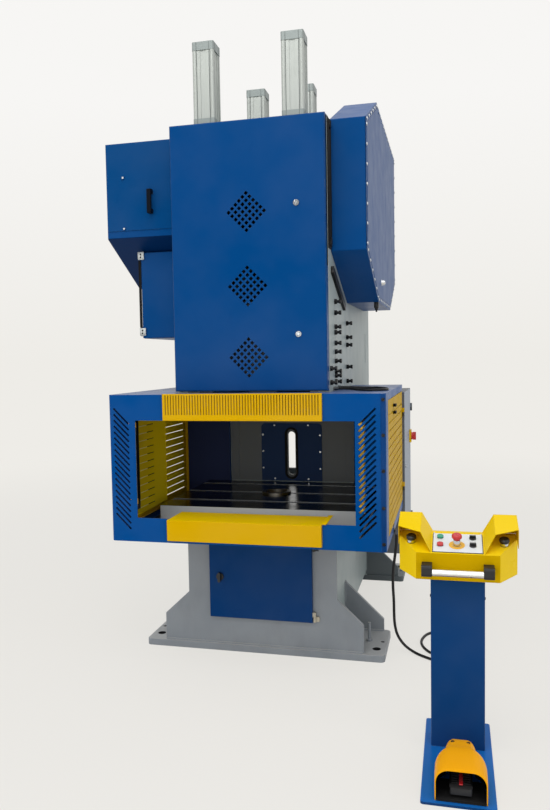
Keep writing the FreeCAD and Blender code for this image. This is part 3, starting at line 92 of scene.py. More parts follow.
def linear(colour: str) -> tuple[float, float, float, float]:
    """Turns an sRGB hex colour into the linear red, green, blue and alpha that a shader takes."""
    parts = [int(colour[i:i + 2], 16) / 255.0 for i in (1, 3, 5)]
    return (*(c / 12.92 if c <= 0.04045 else ((c + 0.055) / 1.055) ** 2.4 for c in parts), 1.0)


@dataclass(frozen=True)
class Box:
    """Three ranges in millimetres: across, behind the front edge and up."""

    x: Pair
    depth: Pair
    z: Pair

    def corners(self) -> tuple[Vector, Vector]:
        """Gives the lowest and the highest corner, in metres."""
        return at(self.x[0], self.depth[0], self.z[0]), at(self.x[1], self.depth[1], self.z[1])


class Graph:
    """Node tree of a material or of the world, and short ways to add what goes into it."""

    def __init__(self, owner: bpy.types.Material | bpy.types.World, coordinates: str = "Object") -> None:
        """Empties the owner's node tree.

        Args:
            owner: the material or world.
            coordinates: name of the coordinates that its nodes use.
        """
        owner.use_nodes = True
        self.tree = owner.node_tree
        self.tree.nodes.clear()
        self.place = self.add("TexCoord").outputs[coordinates]
        self.noises: dict[tuple[float, float, Triple], Socket] = {}

    def add(self, kind: str, inputs: Mapping[str | int, object] | None = None,
            **settings: object) -> bpy.types.Node:
        """Adds one node.

        Args:
            kind: the node's type, without the words in front that all types share.
            inputs: a value, or the socket that feeds it, by an input's name or number.
            settings: the node's own settings.

        Returns:
            The new node.
        """
        node = self.tree.nodes.new("ShaderNode" + kind)
        for name, value in settings.items():
            setattr(node, name, value)
        for key, value in (inputs or {}).items():
            if isinstance(value, Socket):
                self.tree.links.new(value, node.inputs[key])
            else:
                node.inputs[key].default_value = value
        return node

    def math(self, operation: str, first: Socket, second: Socket | float) -> Socket:
        """Works out one number from two."""
        return self.add("Math", {0: first, 1: second}, operation=operation).outputs[0]

    def vector(self, operation: str, *terms: Socket | Vector | Triple) -> Socket:
        """Works out one vector from one or two."""
        return self.add("VectorMath", dict(enumerate(terms)), operation=operation).outputs[0]

    def dot(self, first: Socket, second: Socket | Vector | Triple) -> Socket:
        """Works out how far one vector goes along another."""
        return self.add("VectorMath", {0: first, 1: second}, operation="DOT_PRODUCT").outputs["Value"]

    @cached_property
    def face(self) -> Socket:
        """Way that the surface looks, from one node that all its uses share."""
        return self.add("NewGeometry").outputs["Normal"]

    def noise(self, size: float, detail: float, stretch: Triple = (1.0, 1.0, 1.0)) -> Socket:
        """Makes an even noise with marks of a real size, once for each set of sizes.

        Args:
            size: size of one mark, in millimetres.
            detail: how much finer structure it has.
            stretch: how many times finer it is along each axis.

        Returns:
            The noise's value, about 0.5 on average.
        """
        key = (size, detail, stretch)
        if key not in self.noises:
            scale = tuple(share * 1000.0 / size for share in stretch)
            scaled = self.add("Mapping", {0: self.place, "Scale": scale}).outputs[0]
            self.noises[key] = self.add(
                "TexNoise", {0: scaled, "Scale": 1.0, "Detail": detail, "Roughness": 0.55}).outputs[0]
        return self.noises[key]

    def spread(self, value: Socket, between: Pair, onto: Pair = (0.0, 1.0)) -> Socket:
        """Maps one range onto another, held at its ends."""
        return self.add("MapRange", dict(enumerate((value, *between, *onto)))).outputs[0]

    def tint(self, share: Socket, first: Socket | str, second: str) -> Socket:
        """Mixes two colours, sockets or in hex, by the second's share."""
        start = linear(first) if isinstance(first, str) else first
        return self.add("Mix", {0: share, 6: start, 7: linear(second)}, data_type="RGBA").outputs[2]

    def blend(self, share: Socket, first: Socket | float, second: float) -> Socket:
        """Mixes two numbers by the second's share."""
        return self.add("Mix", {0: share, 2: first, 3: second}, data_type="FLOAT").outputs[0]

    def looking_up(self, most: float) -> Socket:
        """Gives a share that grows from none to the most as the surface turns upward."""
        return self.spread(self.add("SeparateXYZ", {0: self.face}).outputs[2], (0.6, 1.0), (0.0, most))

    def worn_and_highlit_edges(self, radius: float, broken: Socket) -> tuple[Socket, Socket]:
        """Finds the folded edges, where paint is rubbed thin in broken runs and made paler, partly as wear
        and partly as a painted highlight.

        Args:
            radius: how far from an edge the paint is worn and made paler, in metres.
            broken: what breaks the runs up.

        Returns:
            The softened way that the surface looks, and the share of paler colour: partly bare metal, partly
            painted highlight.
        """
        soft = self.add("Bevel", {"Radius": radius}, samples=4).outputs[0]
        edge = self.spread(self.dot(soft, self.face), (0.97, 0.80))
        return soft, self.math("MULTIPLY", edge, broken)

    def seen(self) -> Socket:
        """Tells what is looked at, straight, in a mirror or through something clear.

        Returns:
            1 for rays from the eye, 0 for the others.
        """
        rays = self.add("LightPath").outputs
        mirrored = self.math("MAXIMUM", rays["Is Camera Ray"], rays["Is Glossy Ray"])
        return self.math("MAXIMUM", mirrored, rays["Is Transmission Ray"])

    def show_both(self, share: Socket, first: bpy.types.Node, second: bpy.types.Node, output: str) -> None:
        """Mixes two shaders by the second's share, and ends the tree with an output of that type."""
        both = self.add("MixShader", {0: share, 1: first.outputs[0], 2: second.outputs[0]})
        self.add(output, {"Surface": both.outputs[0]})


# ---------------------------------------------------------------- patches
@dataclass(frozen=True)
class Patch(Box):
    """Box of a part whose colour differs from the rest of it, for another finish and also for painted light
    and shade.
    """

    colour: str
    roughness: float = 0.45
    metallic: float = 0.0
    looks: Triple | None = None

    def mask(self, graph: Graph) -> Socket:
        """Finds the patch.

        Args:
            graph: the material's graph.

        Returns:
            1 where the box and the patch's own limit are both kept, and 0 elsewhere.
        """
        low, high = self.corners()
        off = graph.vector("SUBTRACT", graph.place, (low + high) / 2.0)
        share = graph.vector("DIVIDE", graph.vector("ABSOLUTE", off), (high - low) / 2.0)
        x, y, z = graph.add("SeparateXYZ", {0: share}).outputs
        most = graph.math("MAXIMUM", graph.math("MAXIMUM", x, y), z)
        inside = graph.math("LESS_THAN", most, 1.0)
        limit = self.limit(graph)
        return inside if limit is None else graph.math("MULTIPLY", inside, limit)

    def limit(self, graph: Graph) -> Socket | None:
        """Finds the faces that look the patch's way.

        Args:
            graph: the material's graph.

        Returns:
            1 on those faces, or None if the patch takes every face.
        """
        if self.looks is None:
            return None
        return graph.math("GREATER_THAN", graph.dot(graph.face, self.looks), 0.8)


@dataclass(frozen=True)
class DeckPatch(Patch):
    """Patch that begins some millimetres over the sloping deck of the control stand."""

    over: float = 0.0

    def limit(self, graph: Graph) -> Socket:
        """Gives 1 where a point is higher than that over the deck."""
        height = graph.dot(graph.vector("SUBTRACT", graph.place, at(*DECK_POINT)), DECK_NORMAL)
        return graph.math("GREATER_THAN", height, self.over / 1000.0)


@dataclass(frozen=True)
class InnerPatch(Patch):
    """Patch on the faces of a hollow shell that look in, towards a line along the depth."""

    line: Pair = (0.0, 0.0)

    def limit(self, graph: Graph) -> Socket:
        """Finds the faces that look towards the line.

        Args:
            graph: the material's graph.

        Returns:
            1 on those faces.
        """
        level = graph.vector("MULTIPLY", graph.place, (1.0, 0.0, 1.0))
        out = graph.vector("SUBTRACT", level, (self.line[0] / 1000.0, 0.0, self.line[1] / 1000.0))
        return graph.math("LESS_THAN", graph.dot(graph.face, out), 0.002)


# ---------------------------------------------------------------- finishes
@dataclass(frozen=True)
class Marks:
    """Noise with marks of a real size, in millimetres, read between two of its values."""

    size: float
    detail: float
    between: Pair = (0.3, 0.7)
    stretch: Triple = (1.0, 1.0, 1.0)

    def noise(self, graph: Graph) -> Socket:
        """Gives the bare noise."""
        return graph.noise(self.size, self.detail, self.stretch)

    def spread(self, graph: Graph, low: float, high: float) -> Socket:
        """Maps the noise between its two values onto a range."""
        return graph.spread(self.noise(graph), self.between, (low, high))


@dataclass(frozen=True)
class Veil:
    """Second colour that shows up to a share where the marks are strong."""

    colour: str
    share: float
    marks: Marks


@dataclass(frozen=True)
class Relief:
    """Fine relief that follows the marks; its depth is in metres."""

    marks: Marks
    strength: float
    depth: float

    def bump(self, graph: Graph, over: Socket | None = None) -> Socket:
        """Lays the relief over a surface.

        Args:
            graph: the material's graph.
            over: the way that the surface looks, if it isn't its own.

        Returns:
            The way that the relief looks.
        """
        inputs = {"Strength": self.strength, "Distance": self.depth, "Height": self.marks.noise(graph)}
        if over is not None:
            inputs["Normal"] = over
        return graph.add("Bump", inputs).outputs[0]


@dataclass(frozen=True)
class Finish:
    """What every finish has: a colour under veils, a gloss that varies, a relief, and patches on top."""

    name: str
    colour: str
    slot: Slot | None = None
    roughness: float = 0.4
    metallic: float = 0.0
    patches: tuple[Patch, ...] = ()
    veils: tuple[Veil, ...] = ()
    gloss: Marks = Marks(100.0, 4.0)
    gloss_range: Pair = (0.0, 0.0)
    relief: Relief = Relief(Marks(3.0, 2.0), 0.1, 0.0002)

    def material(self) -> bpy.types.Material:
        """Makes the material on first use, and finds it again after that.

        Returns:
            The finish's material.
        """
        found = bpy.data.materials.get(self.name)
        if found is not None:
            return found
        made = bpy.data.materials.new(self.name)
        graph = Graph(made)
        shader = graph.add("BsdfPrincipled", self.patched(graph, self.recipe(graph) | self.optics()))
        graph.add("OutputMaterial", {"Surface": shader.outputs[0]})
        made.diffuse_color = linear(self.colour)
        made.roughness = self.roughness
        made.metallic = self.metallic
        return made

    def optics(self) -> dict[str, object]:
        """Gives the shader's inputs that are the same all over the surface."""
        return {}

    def veiled(self, graph: Graph) -> Socket:
        """Lays the veils over the colour.

        Args:
            graph: the material's graph.

        Returns:
            The veiled colour.
        """
        colour: Socket | str = self.colour
        for veil in self.veils:
            colour = graph.tint(veil.marks.spread(graph, 0.0, veil.share), colour, veil.colour)
        return colour

    def shine(self, graph: Graph) -> Socket:
        """Gives the roughness, which varies about its value with the gloss marks."""
        low, high = (self.roughness + share for share in self.gloss_range)
        return self.gloss.spread(graph, low, high)

    def recipe(self, graph: Graph) -> dict[str, object]:
        """Gives the shader's inputs that vary over the surface."""
        return {"Base Color": self.veiled(graph), "Roughness": self.shine(graph),
                "Normal": self.relief.bump(graph)}

    def patched(self, graph: Graph, inputs: dict[str, object]) -> dict[str, object]:
        """Lays the patches over colour, roughness and metal.

        Args:
            graph: the material's graph.
            inputs: the shader's inputs.

        Returns:
            The inputs with the patches in them.
        """
        inputs["Metallic"] = self.metallic
        mixed = any(patch.metallic != self.metallic for patch in self.patches)
        for patch in self.patches:
            mask = patch.mask(graph)
            inputs["Base Color"] = graph.tint(mask, inputs["Base Color"], patch.colour)
            inputs["Roughness"] = graph.blend(mask, inputs["Roughness"], patch.roughness)
            if mixed:
                inputs["Metallic"] = graph.blend(mask, inputs["Metallic"], patch.metallic)
        return inputs


@dataclass(frozen=True)
class EnamelledSheet(Finish):
    """Folded sheet steel under gloss enamel; the pigment lies deep, which keeps the mirror weak."""

    roughness: float = 0.30
    coat: float = 0.03
    gleam: float = 0.12
    gleam_tint: str = "#ffffff"
    dust_and_top_light: float = 0.16
    edge_wear_and_highlight: bool = True
    wear_and_highlight_colour: str = "#7f8b99"
    veils: tuple[Veil, ...] = (Veil("#ffffff", 0.015, Marks(420.0, 3.0, (0.35, 0.75))),)
    gloss: Marks = Marks(140.0, 5.0)
    gloss_range: Pair = (-0.04, 0.06)
    chips: Marks = Marks(25.0, 4.0, (0.50, 0.68))
    # waves of thin sheet, and peel drawn at 10 mm because the real 2 mm is too fine to show
    waves: Relief = Relief(Marks(300.0, 1.0), 0.30, 0.004)
    relief: Relief = Relief(Marks(10.0, 2.0), 0.10, 0.0004)

    def optics(self) -> dict[str, object]:
        """Gives what the resin does to light."""
        return {"IOR": 1.5, "Specular IOR Level": self.gleam, "Specular Tint": linear(self.gleam_tint),
                "Coat Weight": self.coat, "Coat Roughness": 0.08}

    def recipe(self, graph: Graph) -> dict[str, object]:
        """Adds dust on what looks up, paler colour on the folded edges that is partly thin paint and partly
        a painted highlight, and the waves of the sheet.

        Args:
            graph: the material's graph.

        Returns:
            The shader's inputs that vary over the surface.
        """
        settled = graph.math("MULTIPLY", graph.looking_up(self.dust_and_top_light), graph.noise(60.0, 4.0))
        colour = graph.tint(settled, self.veiled(graph), "#b9b4aa")
        surface = graph.face
        # paler folded edges: partly worn paint, partly a painted highlight
        if self.edge_wear_and_highlight:
            surface, worn_and_highlit = graph.worn_and_highlit_edges(0.0035, self.chips.spread(graph, 0.04, 0.55))
            colour = graph.tint(worn_and_highlit, colour, self.wear_and_highlight_colour)
        return {"Base Color": colour, "Roughness": self.shine(graph),
                "Normal": self.relief.bump(graph, self.waves.bump(graph, surface))}


@dataclass(frozen=True)
class BlueEnamel(EnamelledSheet):
    """Blue enamel, which tints what it mirrors."""

    gleam_tint: str = "#5f9ade"


@dataclass(frozen=True)
class YellowEnamel(EnamelledSheet):
    """Yellow enamel, which tints what it mirrors; its edges turn a pale primer colour that is partly wear
    and partly a painted highlight.
    """

    gleam_tint: str = "#ffd45a"
    wear_and_highlight_colour: str = "#b9b4a0"


@dataclass(frozen=True)
class SprayedPlate(Finish):
    """Thick welded plate, filled and sprayed with two-pack paint: satin, cloudy and oily in places."""

    roughness: float = 0.46
    grime: float = 0.12
    # share of pale colour on the faces that look up: a painted highlight of the light from above
    dust_and_top_light: float = 0.0
    clouds: Marks = Marks(260.0, 5.0, (0.35, 0.7))
    smears: Marks = Marks(90.0, 6.0, (0.52, 0.74), (1.0, 1.0, 0.35))
    chips: Marks = Marks(18.0, 4.0, (0.46, 0.62))
    gloss: Marks = Marks(90.0, 6.0, (0.3, 0.75), (1.0, 1.0, 0.35))
    gloss_range: Pair = (0.08, -0.12)
    # grain of the filler under the paint; the spray's own 1 mm is too fine to show
    relief: Relief = Relief(Marks(12.0, 4.0), 0.22, 0.0012)

    def optics(self) -> dict[str, object]:
        """Gives what the paint does to light."""
        return {"IOR": 1.5, "Specular IOR Level": 0.35}

    def recipe(self, graph: Graph) -> dict[str, object]:
        """Lays clouds, smears, a painted highlight on the faces that look up, and paler edges over the
        paint; the edges are partly rubbed paint and partly a painted highlight.

        Args:
            graph: the material's graph.

        Returns:
            The shader's inputs that vary over the surface.
        """
        colour = graph.tint(self.clouds.spread(graph, 0.0, 0.10), self.colour, "#c9ccce")
        colour = graph.tint(self.smears.spread(graph, 0.0, self.grime), colour, "#55524c")
        # painted highlight: faces that look up are lightened as if lit from above
        colour = graph.tint(graph.looking_up(self.dust_and_top_light), colour, "#e6e3dd")
        # paler edges: partly rubbed paint, partly a painted highlight
        soft, worn_and_highlit = graph.worn_and_highlit_edges(0.003, self.chips.spread(graph, 0.15, 0.8))
        return {"Base Color": graph.tint(worn_and_highlit, colour, "#c4c6c8"), "Roughness": self.shine(graph),
                "Normal": self.relief.bump(graph, soft)}


@dataclass(frozen=True)
class GroundSteel(Finish):
    """Surface-ground or turned steel: fine parallel marks, long where the grain is small, under thin oil."""

    roughness: float = 0.26
    metallic: float = 1.0
    grain: Triple = (0.03, 1.0, 1.0)
    gloss: Marks = Marks(160.0, 5.0, (0.35, 0.7))
    gloss_range: Pair = (0.06, -0.08)

    def recipe(self, graph: Graph) -> dict[str, object]:
        """Draws the marks 6 mm apart, because the real ones, under 0.5 mm, are too fine to show.

        Args:
            graph: the material's graph.

        Returns:
            The shader's inputs that vary over the surface.
        """
        marks = Marks(6.0, 3.0, (0.35, 0.7), self.grain)
        oil = Marks(self.gloss.size, self.gloss.detail, (0.5, 0.72))
        colour = graph.tint(marks.spread(graph, 0.0, 0.25), self.colour, "#3c3d3f")
        return {"Base Color": graph.tint(oil.spread(graph, 0.0, 0.30), colour, "#4b4438"),
                "Roughness": self.shine(graph), "Normal": Relief(marks, 0.10, 0.0004).bump(graph)}


@dataclass(frozen=True)
class SandCast(Finish):
    """Grey cast iron as it leaves the sand, primed: dull and stained, with a coarse pitted skin."""

    roughness: float = 0.6
    metallic: float = 0.35
    veils: tuple[Veil, ...] = (Veil("#77797c", 0.35, Marks(9.0, 5.0, (0.35, 0.7))),
                               Veil("#3a3027", 0.35, Marks(120.0, 5.0, (0.55, 0.75))))
    gloss: Marks = Marks(120.0, 5.0)
    gloss_range: Pair = (0.08, -0.15)
    relief: Relief = Relief(Marks(9.0, 5.0), 0.35, 0.0015)


DIE_LINES = Marks(7.0, 3.0, stretch=(1.0, 1.0, 0.01))


@dataclass(frozen=True)
class DrawnAluminium(Finish):
    """Extruded aluminium, clear anodised: pale satin with die lines that run up and down."""

    roughness: float = 0.38
    metallic: float = 0.55
    veils: tuple[Veil, ...] = (Veil("#9a9da1", 0.22, DIE_LINES),)
    gloss: Marks = Marks(80.0, 4.0)
    gloss_range: Pair = (-0.05, 0.1)
    relief: Relief = Relief(DIE_LINES, 0.15, 0.0004)


@dataclass(frozen=True)
class Moulded(Finish):
    """Injection-moulded ABS or nylon: a fine spark-eroded grain, handled parts paler and shinier."""

    roughness: float = 0.42
    handled: float = 0.10
    gloss: Marks = Marks(22.0, 4.0, (0.3, 0.75))
    gloss_range: Pair = (0.05, -0.12)
    relief: Relief = Relief(Marks(2.5, 2.0), 0.25, 0.0002)

    def optics(self) -> dict[str, object]:
        """Gives the index of ABS."""
        return {"IOR": 1.53}

    def veiled(self, graph: Graph) -> Socket:
        """Pales the colour where hands have been."""
        touched = Marks(22.0, 4.0, (0.4, 0.75)).spread(graph, 0.0, self.handled)
        return graph.tint(touched, self.colour, "#bdbdbd")


@dataclass(frozen=True)
class SoftRubber(Finish):
    """Black rubber or PVC jacket: dark, dusty in patches, with a dull sheen."""

    roughness: float = 0.55
    bloom: float = 0.20
    sheen: float = 0.08
    gloss: Marks = Marks(35.0, 5.0, (0.3, 0.75))
    gloss_range: Pair = (-0.1, 0.15)
    relief: Relief = Relief(Marks(3.0, 2.0), 0.2, 0.0003)

    def optics(self) -> dict[str, object]:
        """Gives what rubber does to light."""
        return {"IOR": 1.52, "Specular IOR Level": 0.3, "Sheen Weight": self.sheen}

    def veiled(self, graph: Graph) -> Socket:
        """Lays the dust over the colour."""
        dust_and_top_light = Marks(35.0, 5.0, (0.45, 0.8)).spread(graph, 0.0, self.bloom)
        return graph.tint(dust_and_top_light, self.colour, "#8d8a84")


@dataclass(frozen=True)
class PlatedMetal(Finish):
    """Nickel, chrome or zinc plate: bright, lightly clouded where it has been handled."""

    roughness: float = 0.16
    metallic: float = 1.0
    veils: tuple[Veil, ...] = (Veil("#8d8a82", 0.20, Marks(14.0, 4.0, (0.45, 0.75))),)
    gloss: Marks = Marks(14.0, 4.0, (0.3, 0.75))
    gloss_range: Pair = (-0.04, 0.14)
    relief: Relief = Relief(Marks(3.0, 2.0), 0.08, 0.0002)


BLACK = "#141416"
KEY_STEEL = "#9a9da0"
BARE_EDGE = "#b9b2a0"
EVERYWHERE = (-2000.0, 2000.0)


def door_lock(x: float, z: float) -> Patch:
    """Chromed barrel of one lock in the tall door."""
    return Patch((x - 17, x + 17), (-160, -148.3), (z - 17, z + 17), KEY_STEEL, 0.18, 1.0)


def slot_lip_highlights(depth: float) -> tuple[Patch, ...]:
    """Bright chamfers along both lips of one T-slot of the table, painted pale as highlights."""
    return tuple(Patch((-584, 584), (depth + near, depth + far), (857, 861), "#b9bcbf", 0.3, 0.7)
                 for near, far in ((-22, -12.5), (12.5, 22)))


THROAT_SHADE = Patch((-433.5, 433.5), (880, 1300), (860, 1515), "#696d70", 0.55, looks=(0, -1, 0))
# painted highlight: the frame's faces that look up are lightened as if lit from above
FRAME_GREY = SprayedPlate("two_pack_paint_frame_grey", "#868c92", Slot.GREY, dust_and_top_light=0.3, patches=(
    # painted shade: the rear foot, behind the press, is darkened
    THROAT_SHADE, Patch((-711, 711), (1500, 1840), (-1, 400), "#5d6568", 0.5),
    # painted shade: the anchor holes are darkened inside
    *(Patch(x, (50, 260), (1, 37.2), "#17181a", 0.7) for x in ((-700, -580), (580, 700)))))
HEAD_GREY = SprayedPlate("two_pack_paint_head_grey", "#9fabab", patches=(THROAT_SHADE,))
DOOR_BLUE = BlueEnamel("enamelled_sheet_door_blue", "#004583", gleam=0.08, patches=(
    door_lock(276, 2528), door_lock(279, 1833),
    # painted shade: the door's side face next to the drive cover is darkened for the shade in the gap
    Patch((432, 434), (-120, -87), (2195, 2985), "#0c0d10", 0.7, looks=(1, 0, 0))))
HOUSING_BLUE = BlueEnamel("enamelled_sheet_housing_blue", "#004582", roughness=0.40, dust_and_top_light=0.05)
LEFT_BLUE = replace(HOUSING_BLUE, name="enamelled_sheet_left_housing", patches=(
    # painted shade: the housing's sloping underside, which looks down, is darkened
    Patch((-895, -430), (-40, 1600), (1600, 2456), "#002856", 0.5, looks=(0.0, -0.5, -0.866)),))
PANEL_BLUE = BlueEnamel("enamelled_sheet_panel_blue", "#00457e", patches=(
    Patch((-626, -590), (-50, -4.2), (2545, 2692), BLACK, 0.4),
    *(Patch((-784, -774), (-12, -4.2), z, "#dfe0e0", 0.3, 0.6) for z in ((2469, 2479), (2761, 2771)))))
GUARD_BLUE = BlueEnamel("enamelled_sheet_guard_blue", "#004b90", coat=0.0, gleam=0.04, dust_and_top_light=0.4,
                        edge_wear_and_highlight=False, patches=(
    # painted shade: the guard's rear wall, seen inside it, is darkened
    Patch((-757, -436), (860, 869.5), (716, 1516), "#30385a", 0.5, looks=(0, -1, 0)),
    Patch((-215, 215), (885, 902), (855, 1262), "#314367", 0.4)))
BASE_BLUE = BlueEnamel("enamelled_sheet_base_blue", "#08386e", patches=(
    Patch((305.4, 360), (-15, 45), (180, 340), BARE_EDGE, 0.4, 0.3),))
STAND_BLUE = BlueEnamel("enamelled_sheet_stand_blue", "#0a3c72", roughness=0.38, dust_and_top_light=0.1, patches=(
    # painted highlight: the top of the stand's foot plate, which looks up, is lighter
    Patch((900, 1300), (-1300, -500), (-1, 12), "#1868b8", 0.35, looks=(0, 0, 1)),))
STRIP_BLUE = BlueEnamel("enamelled_strip_guard_blue", "#053c78", Slot.BLUE)
# painted shade: a dark copy of the guard blue, for the sheet behind the slots at the guard's left
SLOT_SHADE_BLUE = BlueEnamel("painted_shade_sheet_dark_blue", "#04244c", Slot.BLUE, 0.5)
# painted shade: dark pans under the guard, so that no lit floor shows through its open bottom
SHADE_PAN_GREY = SprayedPlate("shade_pan_dark_grey", "#1d2126", Slot.BLUE)
GUARD_YELLOW = YellowEnamel(
    "enamelled_sheet_guard_yellow", "#cba200", roughness=0.42, coat=0.0, gleam=0.02,
    patches=tuple(Patch(EVERYWHERE, (118, 192), z, BLACK) for z in ((1383, 1399), (1423, 1439))))
COVER_YELLOW = YellowEnamel("enamelled_sheet_cover_yellow", "#daab00", Slot.YELLOW, coat=0.0, gleam=0.05,
                            dust_and_top_light=0.0, patches=(
    # painted light: the shelf's top, shaded by the guard above, is painted brighter
    Patch((-700, 700), (-400, -60), (835, 860), "#ffd400", 0.4, looks=(0, 0, 1)),))
# painted shade: a darker copy of the cover's yellow, for the sheet behind its slots
COVER_SHADE_YELLOW = EnamelledSheet("painted_shade_sheet_dark_yellow", "#9c7600", Slot.YELLOW, 0.5,
                                edge_wear_and_highlight=False)
# painted highlight and shade: the ribs are pale in front and dark further back
RIB_LIGHT_SHADE_YELLOW = EnamelledSheet("rib_painted_highlight_and_shade", "#fff3a8", Slot.YELLOW, 0.45, edge_wear_and_highlight=False,
                            patches=(Patch(EVERYWHERE, (162, 300), (700, 1500), "#3a2f06", 0.5),))
# painted light: brighter than the doors' own yellow, as if lit
LIT_SKIN_YELLOW = YellowEnamel("inner_skin_painted_light_yellow", "#f8d80c", Slot.YELLOW, 0.45, edge_wear_and_highlight=False)
CURTAIN_YELLOW = EnamelledSheet("enamelled_case_curtain_yellow", "#e0ad05", patches=(
    *(Patch(EVERYWHERE, (-320, -260), z, BLACK) for z in ((800, 905), (1374, 1450))),
    Patch((-608.5, 608.5), (-311, -260), (905, 1374), "#0b0b0c", 0.35),
    # painted highlight: a pale line along the front edge of the curtain posts
    Patch((-608.5, 608.5), (-317, -311), (905, 1374), "#c9c49a", 0.4)))
HEAD_YELLOW = YellowEnamel("enamelled_sheet_head_yellow", "#f6d000", coat=0.0, gleam=0.05, dust_and_top_light=0.0,
                           patches=(
    # painted shade: the head's faces that look forward are darker than its sides
    Patch((800, 1400), (-1200, -600), (650, 1100), "#cfa602", 0.4, looks=(0, -1, 0)),))
HOOD_YELLOW = YellowEnamel("die_cast_hood_powder_yellow", "#f8ac00", Slot.ORANGE, 0.38, coat=0.0, gleam=0.05,
                           dust_and_top_light=0.0, edge_wear_and_highlight=False, patches=(
    # painted shade: the inside of the hood is black
    InnerPatch((1000, 1224), (-1257, -960), (-1, 141), "#0b0b0c", 0.6, line=(1112.0, 10.0)),))
CABINET_GREY = EnamelledSheet("textured_powder_cabinet_grey", "#686c71", roughness=0.45, coat=0.0, patches=(
    # painted reflection: the cabinet's right side is lighter and bluer
    Patch((740, 771), (860, 1545), (0, 3200), "#949fae", 0.4, looks=(1, 0, 0)),
    Patch((770.3, 785), (1374, 1456), (1079, 1171), "#e8bc10", 0.35),
    Patch((768, 776), (945, 975), (953, 983), KEY_STEEL, 0.2, 1.0)))
TABLE_STEEL = GroundSteel("ground_steel_table", "#303338", roughness=0.2, patches=(
    Patch((-600, 600), (-52, -45), (700, 859), "#a3a6a8", 0.5, 0.35, (0, -1, 0)),
    *slot_lip_highlights(152), *slot_lip_highlights(440), *slot_lip_highlights(728)))
GIB_STEEL = GroundSteel("ground_steel_gibs", "#a9abad", grain=(1.0, 1.0, 0.03))
RING_STEEL = GroundSteel("turned_steel_bore_ring", "#7b766c", Slot.DARK, 0.34, grain=(1.0, 1.0, 0.2))
TURNED_STEEL = GroundSteel("turned_steel_shafts", "#b4b6b8", roughness=0.22, grain=(1.0, 0.1, 0.1))
CAST_IRON = SandCast("grey_cast_iron_primed", "#4b4f54")
BUSH_BRONZE = GroundSteel("turned_bronze_bushes", "#b8864a", roughness=0.3, grain=(1.0, 0.1, 0.1))
BARREL = DrawnAluminium("anodised_aluminium_barrels", "#b3b8b2", Slot.BARREL, patches=tuple(
    Patch(EVERYWHERE, (-3000, 3000), z, "#8f9795", 0.42, 0.5) for z in ((2900, 3035), (3403, 3500))))
# painted shade: dark strips in the sensor slots, for the shade of the grooves
SLOT_SHADE_GREY = Moulded("slot_shade_strip_grey", "#4d5452", Slot.PLASTIC, 0.5)
ALUMINIUM = DrawnAluminium("mill_aluminium_small_parts", "#c4c8c6", Slot.BARREL)
BELT_RUBBER = SoftRubber("neoprene_belts", "#17171a")
CABLE_JACKET = SoftRubber("pvc_cable_jacket", "#0b0b0d", Slot.RUBBER, 0.45, bloom=0.05, sheen=0.0)
SEAL_RUBBER = SoftRubber("sponge_rubber_seal", "#0a0a0b", Slot.PLASTIC, 0.8, bloom=0.03, sheen=0.0)
CHROME = PlatedMetal("chrome_plate", "#d6d8da", Slot.BRIGHT, 0.1)
ZINC = PlatedMetal("zinc_plated_screws", "#d2d4d4", Slot.BRIGHT, 0.34)
BLACKENED = PlatedMetal("blackened_steel_screws", "#26272a", Slot.DARK, 0.38)
BLACK_ABS = Moulded("moulded_abs_black", "#0c0c0e", handled=0.02)
RED_ABS = Moulded("moulded_abs_red", "#c8141c", Slot.RED, 0.3)
GREEN_ABS = Moulded("moulded_abs_green", "#0f9a78", roughness=0.3)
SIGN_YELLOW = Moulded("polyester_disc_yellow", "#f0b400", Slot.YELLOW, 0.4)
HANDLE_TUBE = PlatedMetal("satin_steel_tube", "#d9dad8", roughness=0.3, patches=tuple(
    Patch(x, (-1010, -900), (785, 850), "#08080a", 0.5) for x in ((940, 1000), (1205, 1260))))
PANEL_FILM = Moulded("polyester_film_panel", "#2b2c2e", roughness=0.35, patches=(
    Patch((1001.5, 1202.5), (-919.8, -775.2), (850, 940), "#e4e8ea", 0.35),
    DeckPatch((880, 1320), (-925, -760), (850, 990), "#cfd2d4", 0.14, 1.0, over=2.4)))
HINGE_BLACK = SprayedPlate("painted_hinge_knuckles", "#1b1c1f", patches=(
    Patch((-760, -700), (90, 170), (1800, 2400), "#17181a", 0.5),
    Patch((300, 350), (-12, 40), (180, 340), BARE_EDGE, 0.4, 0.3)))
FITTINGS = PlatedMetal("nickelled_fittings", "#5a5c60", Slot.DARK, 0.35)

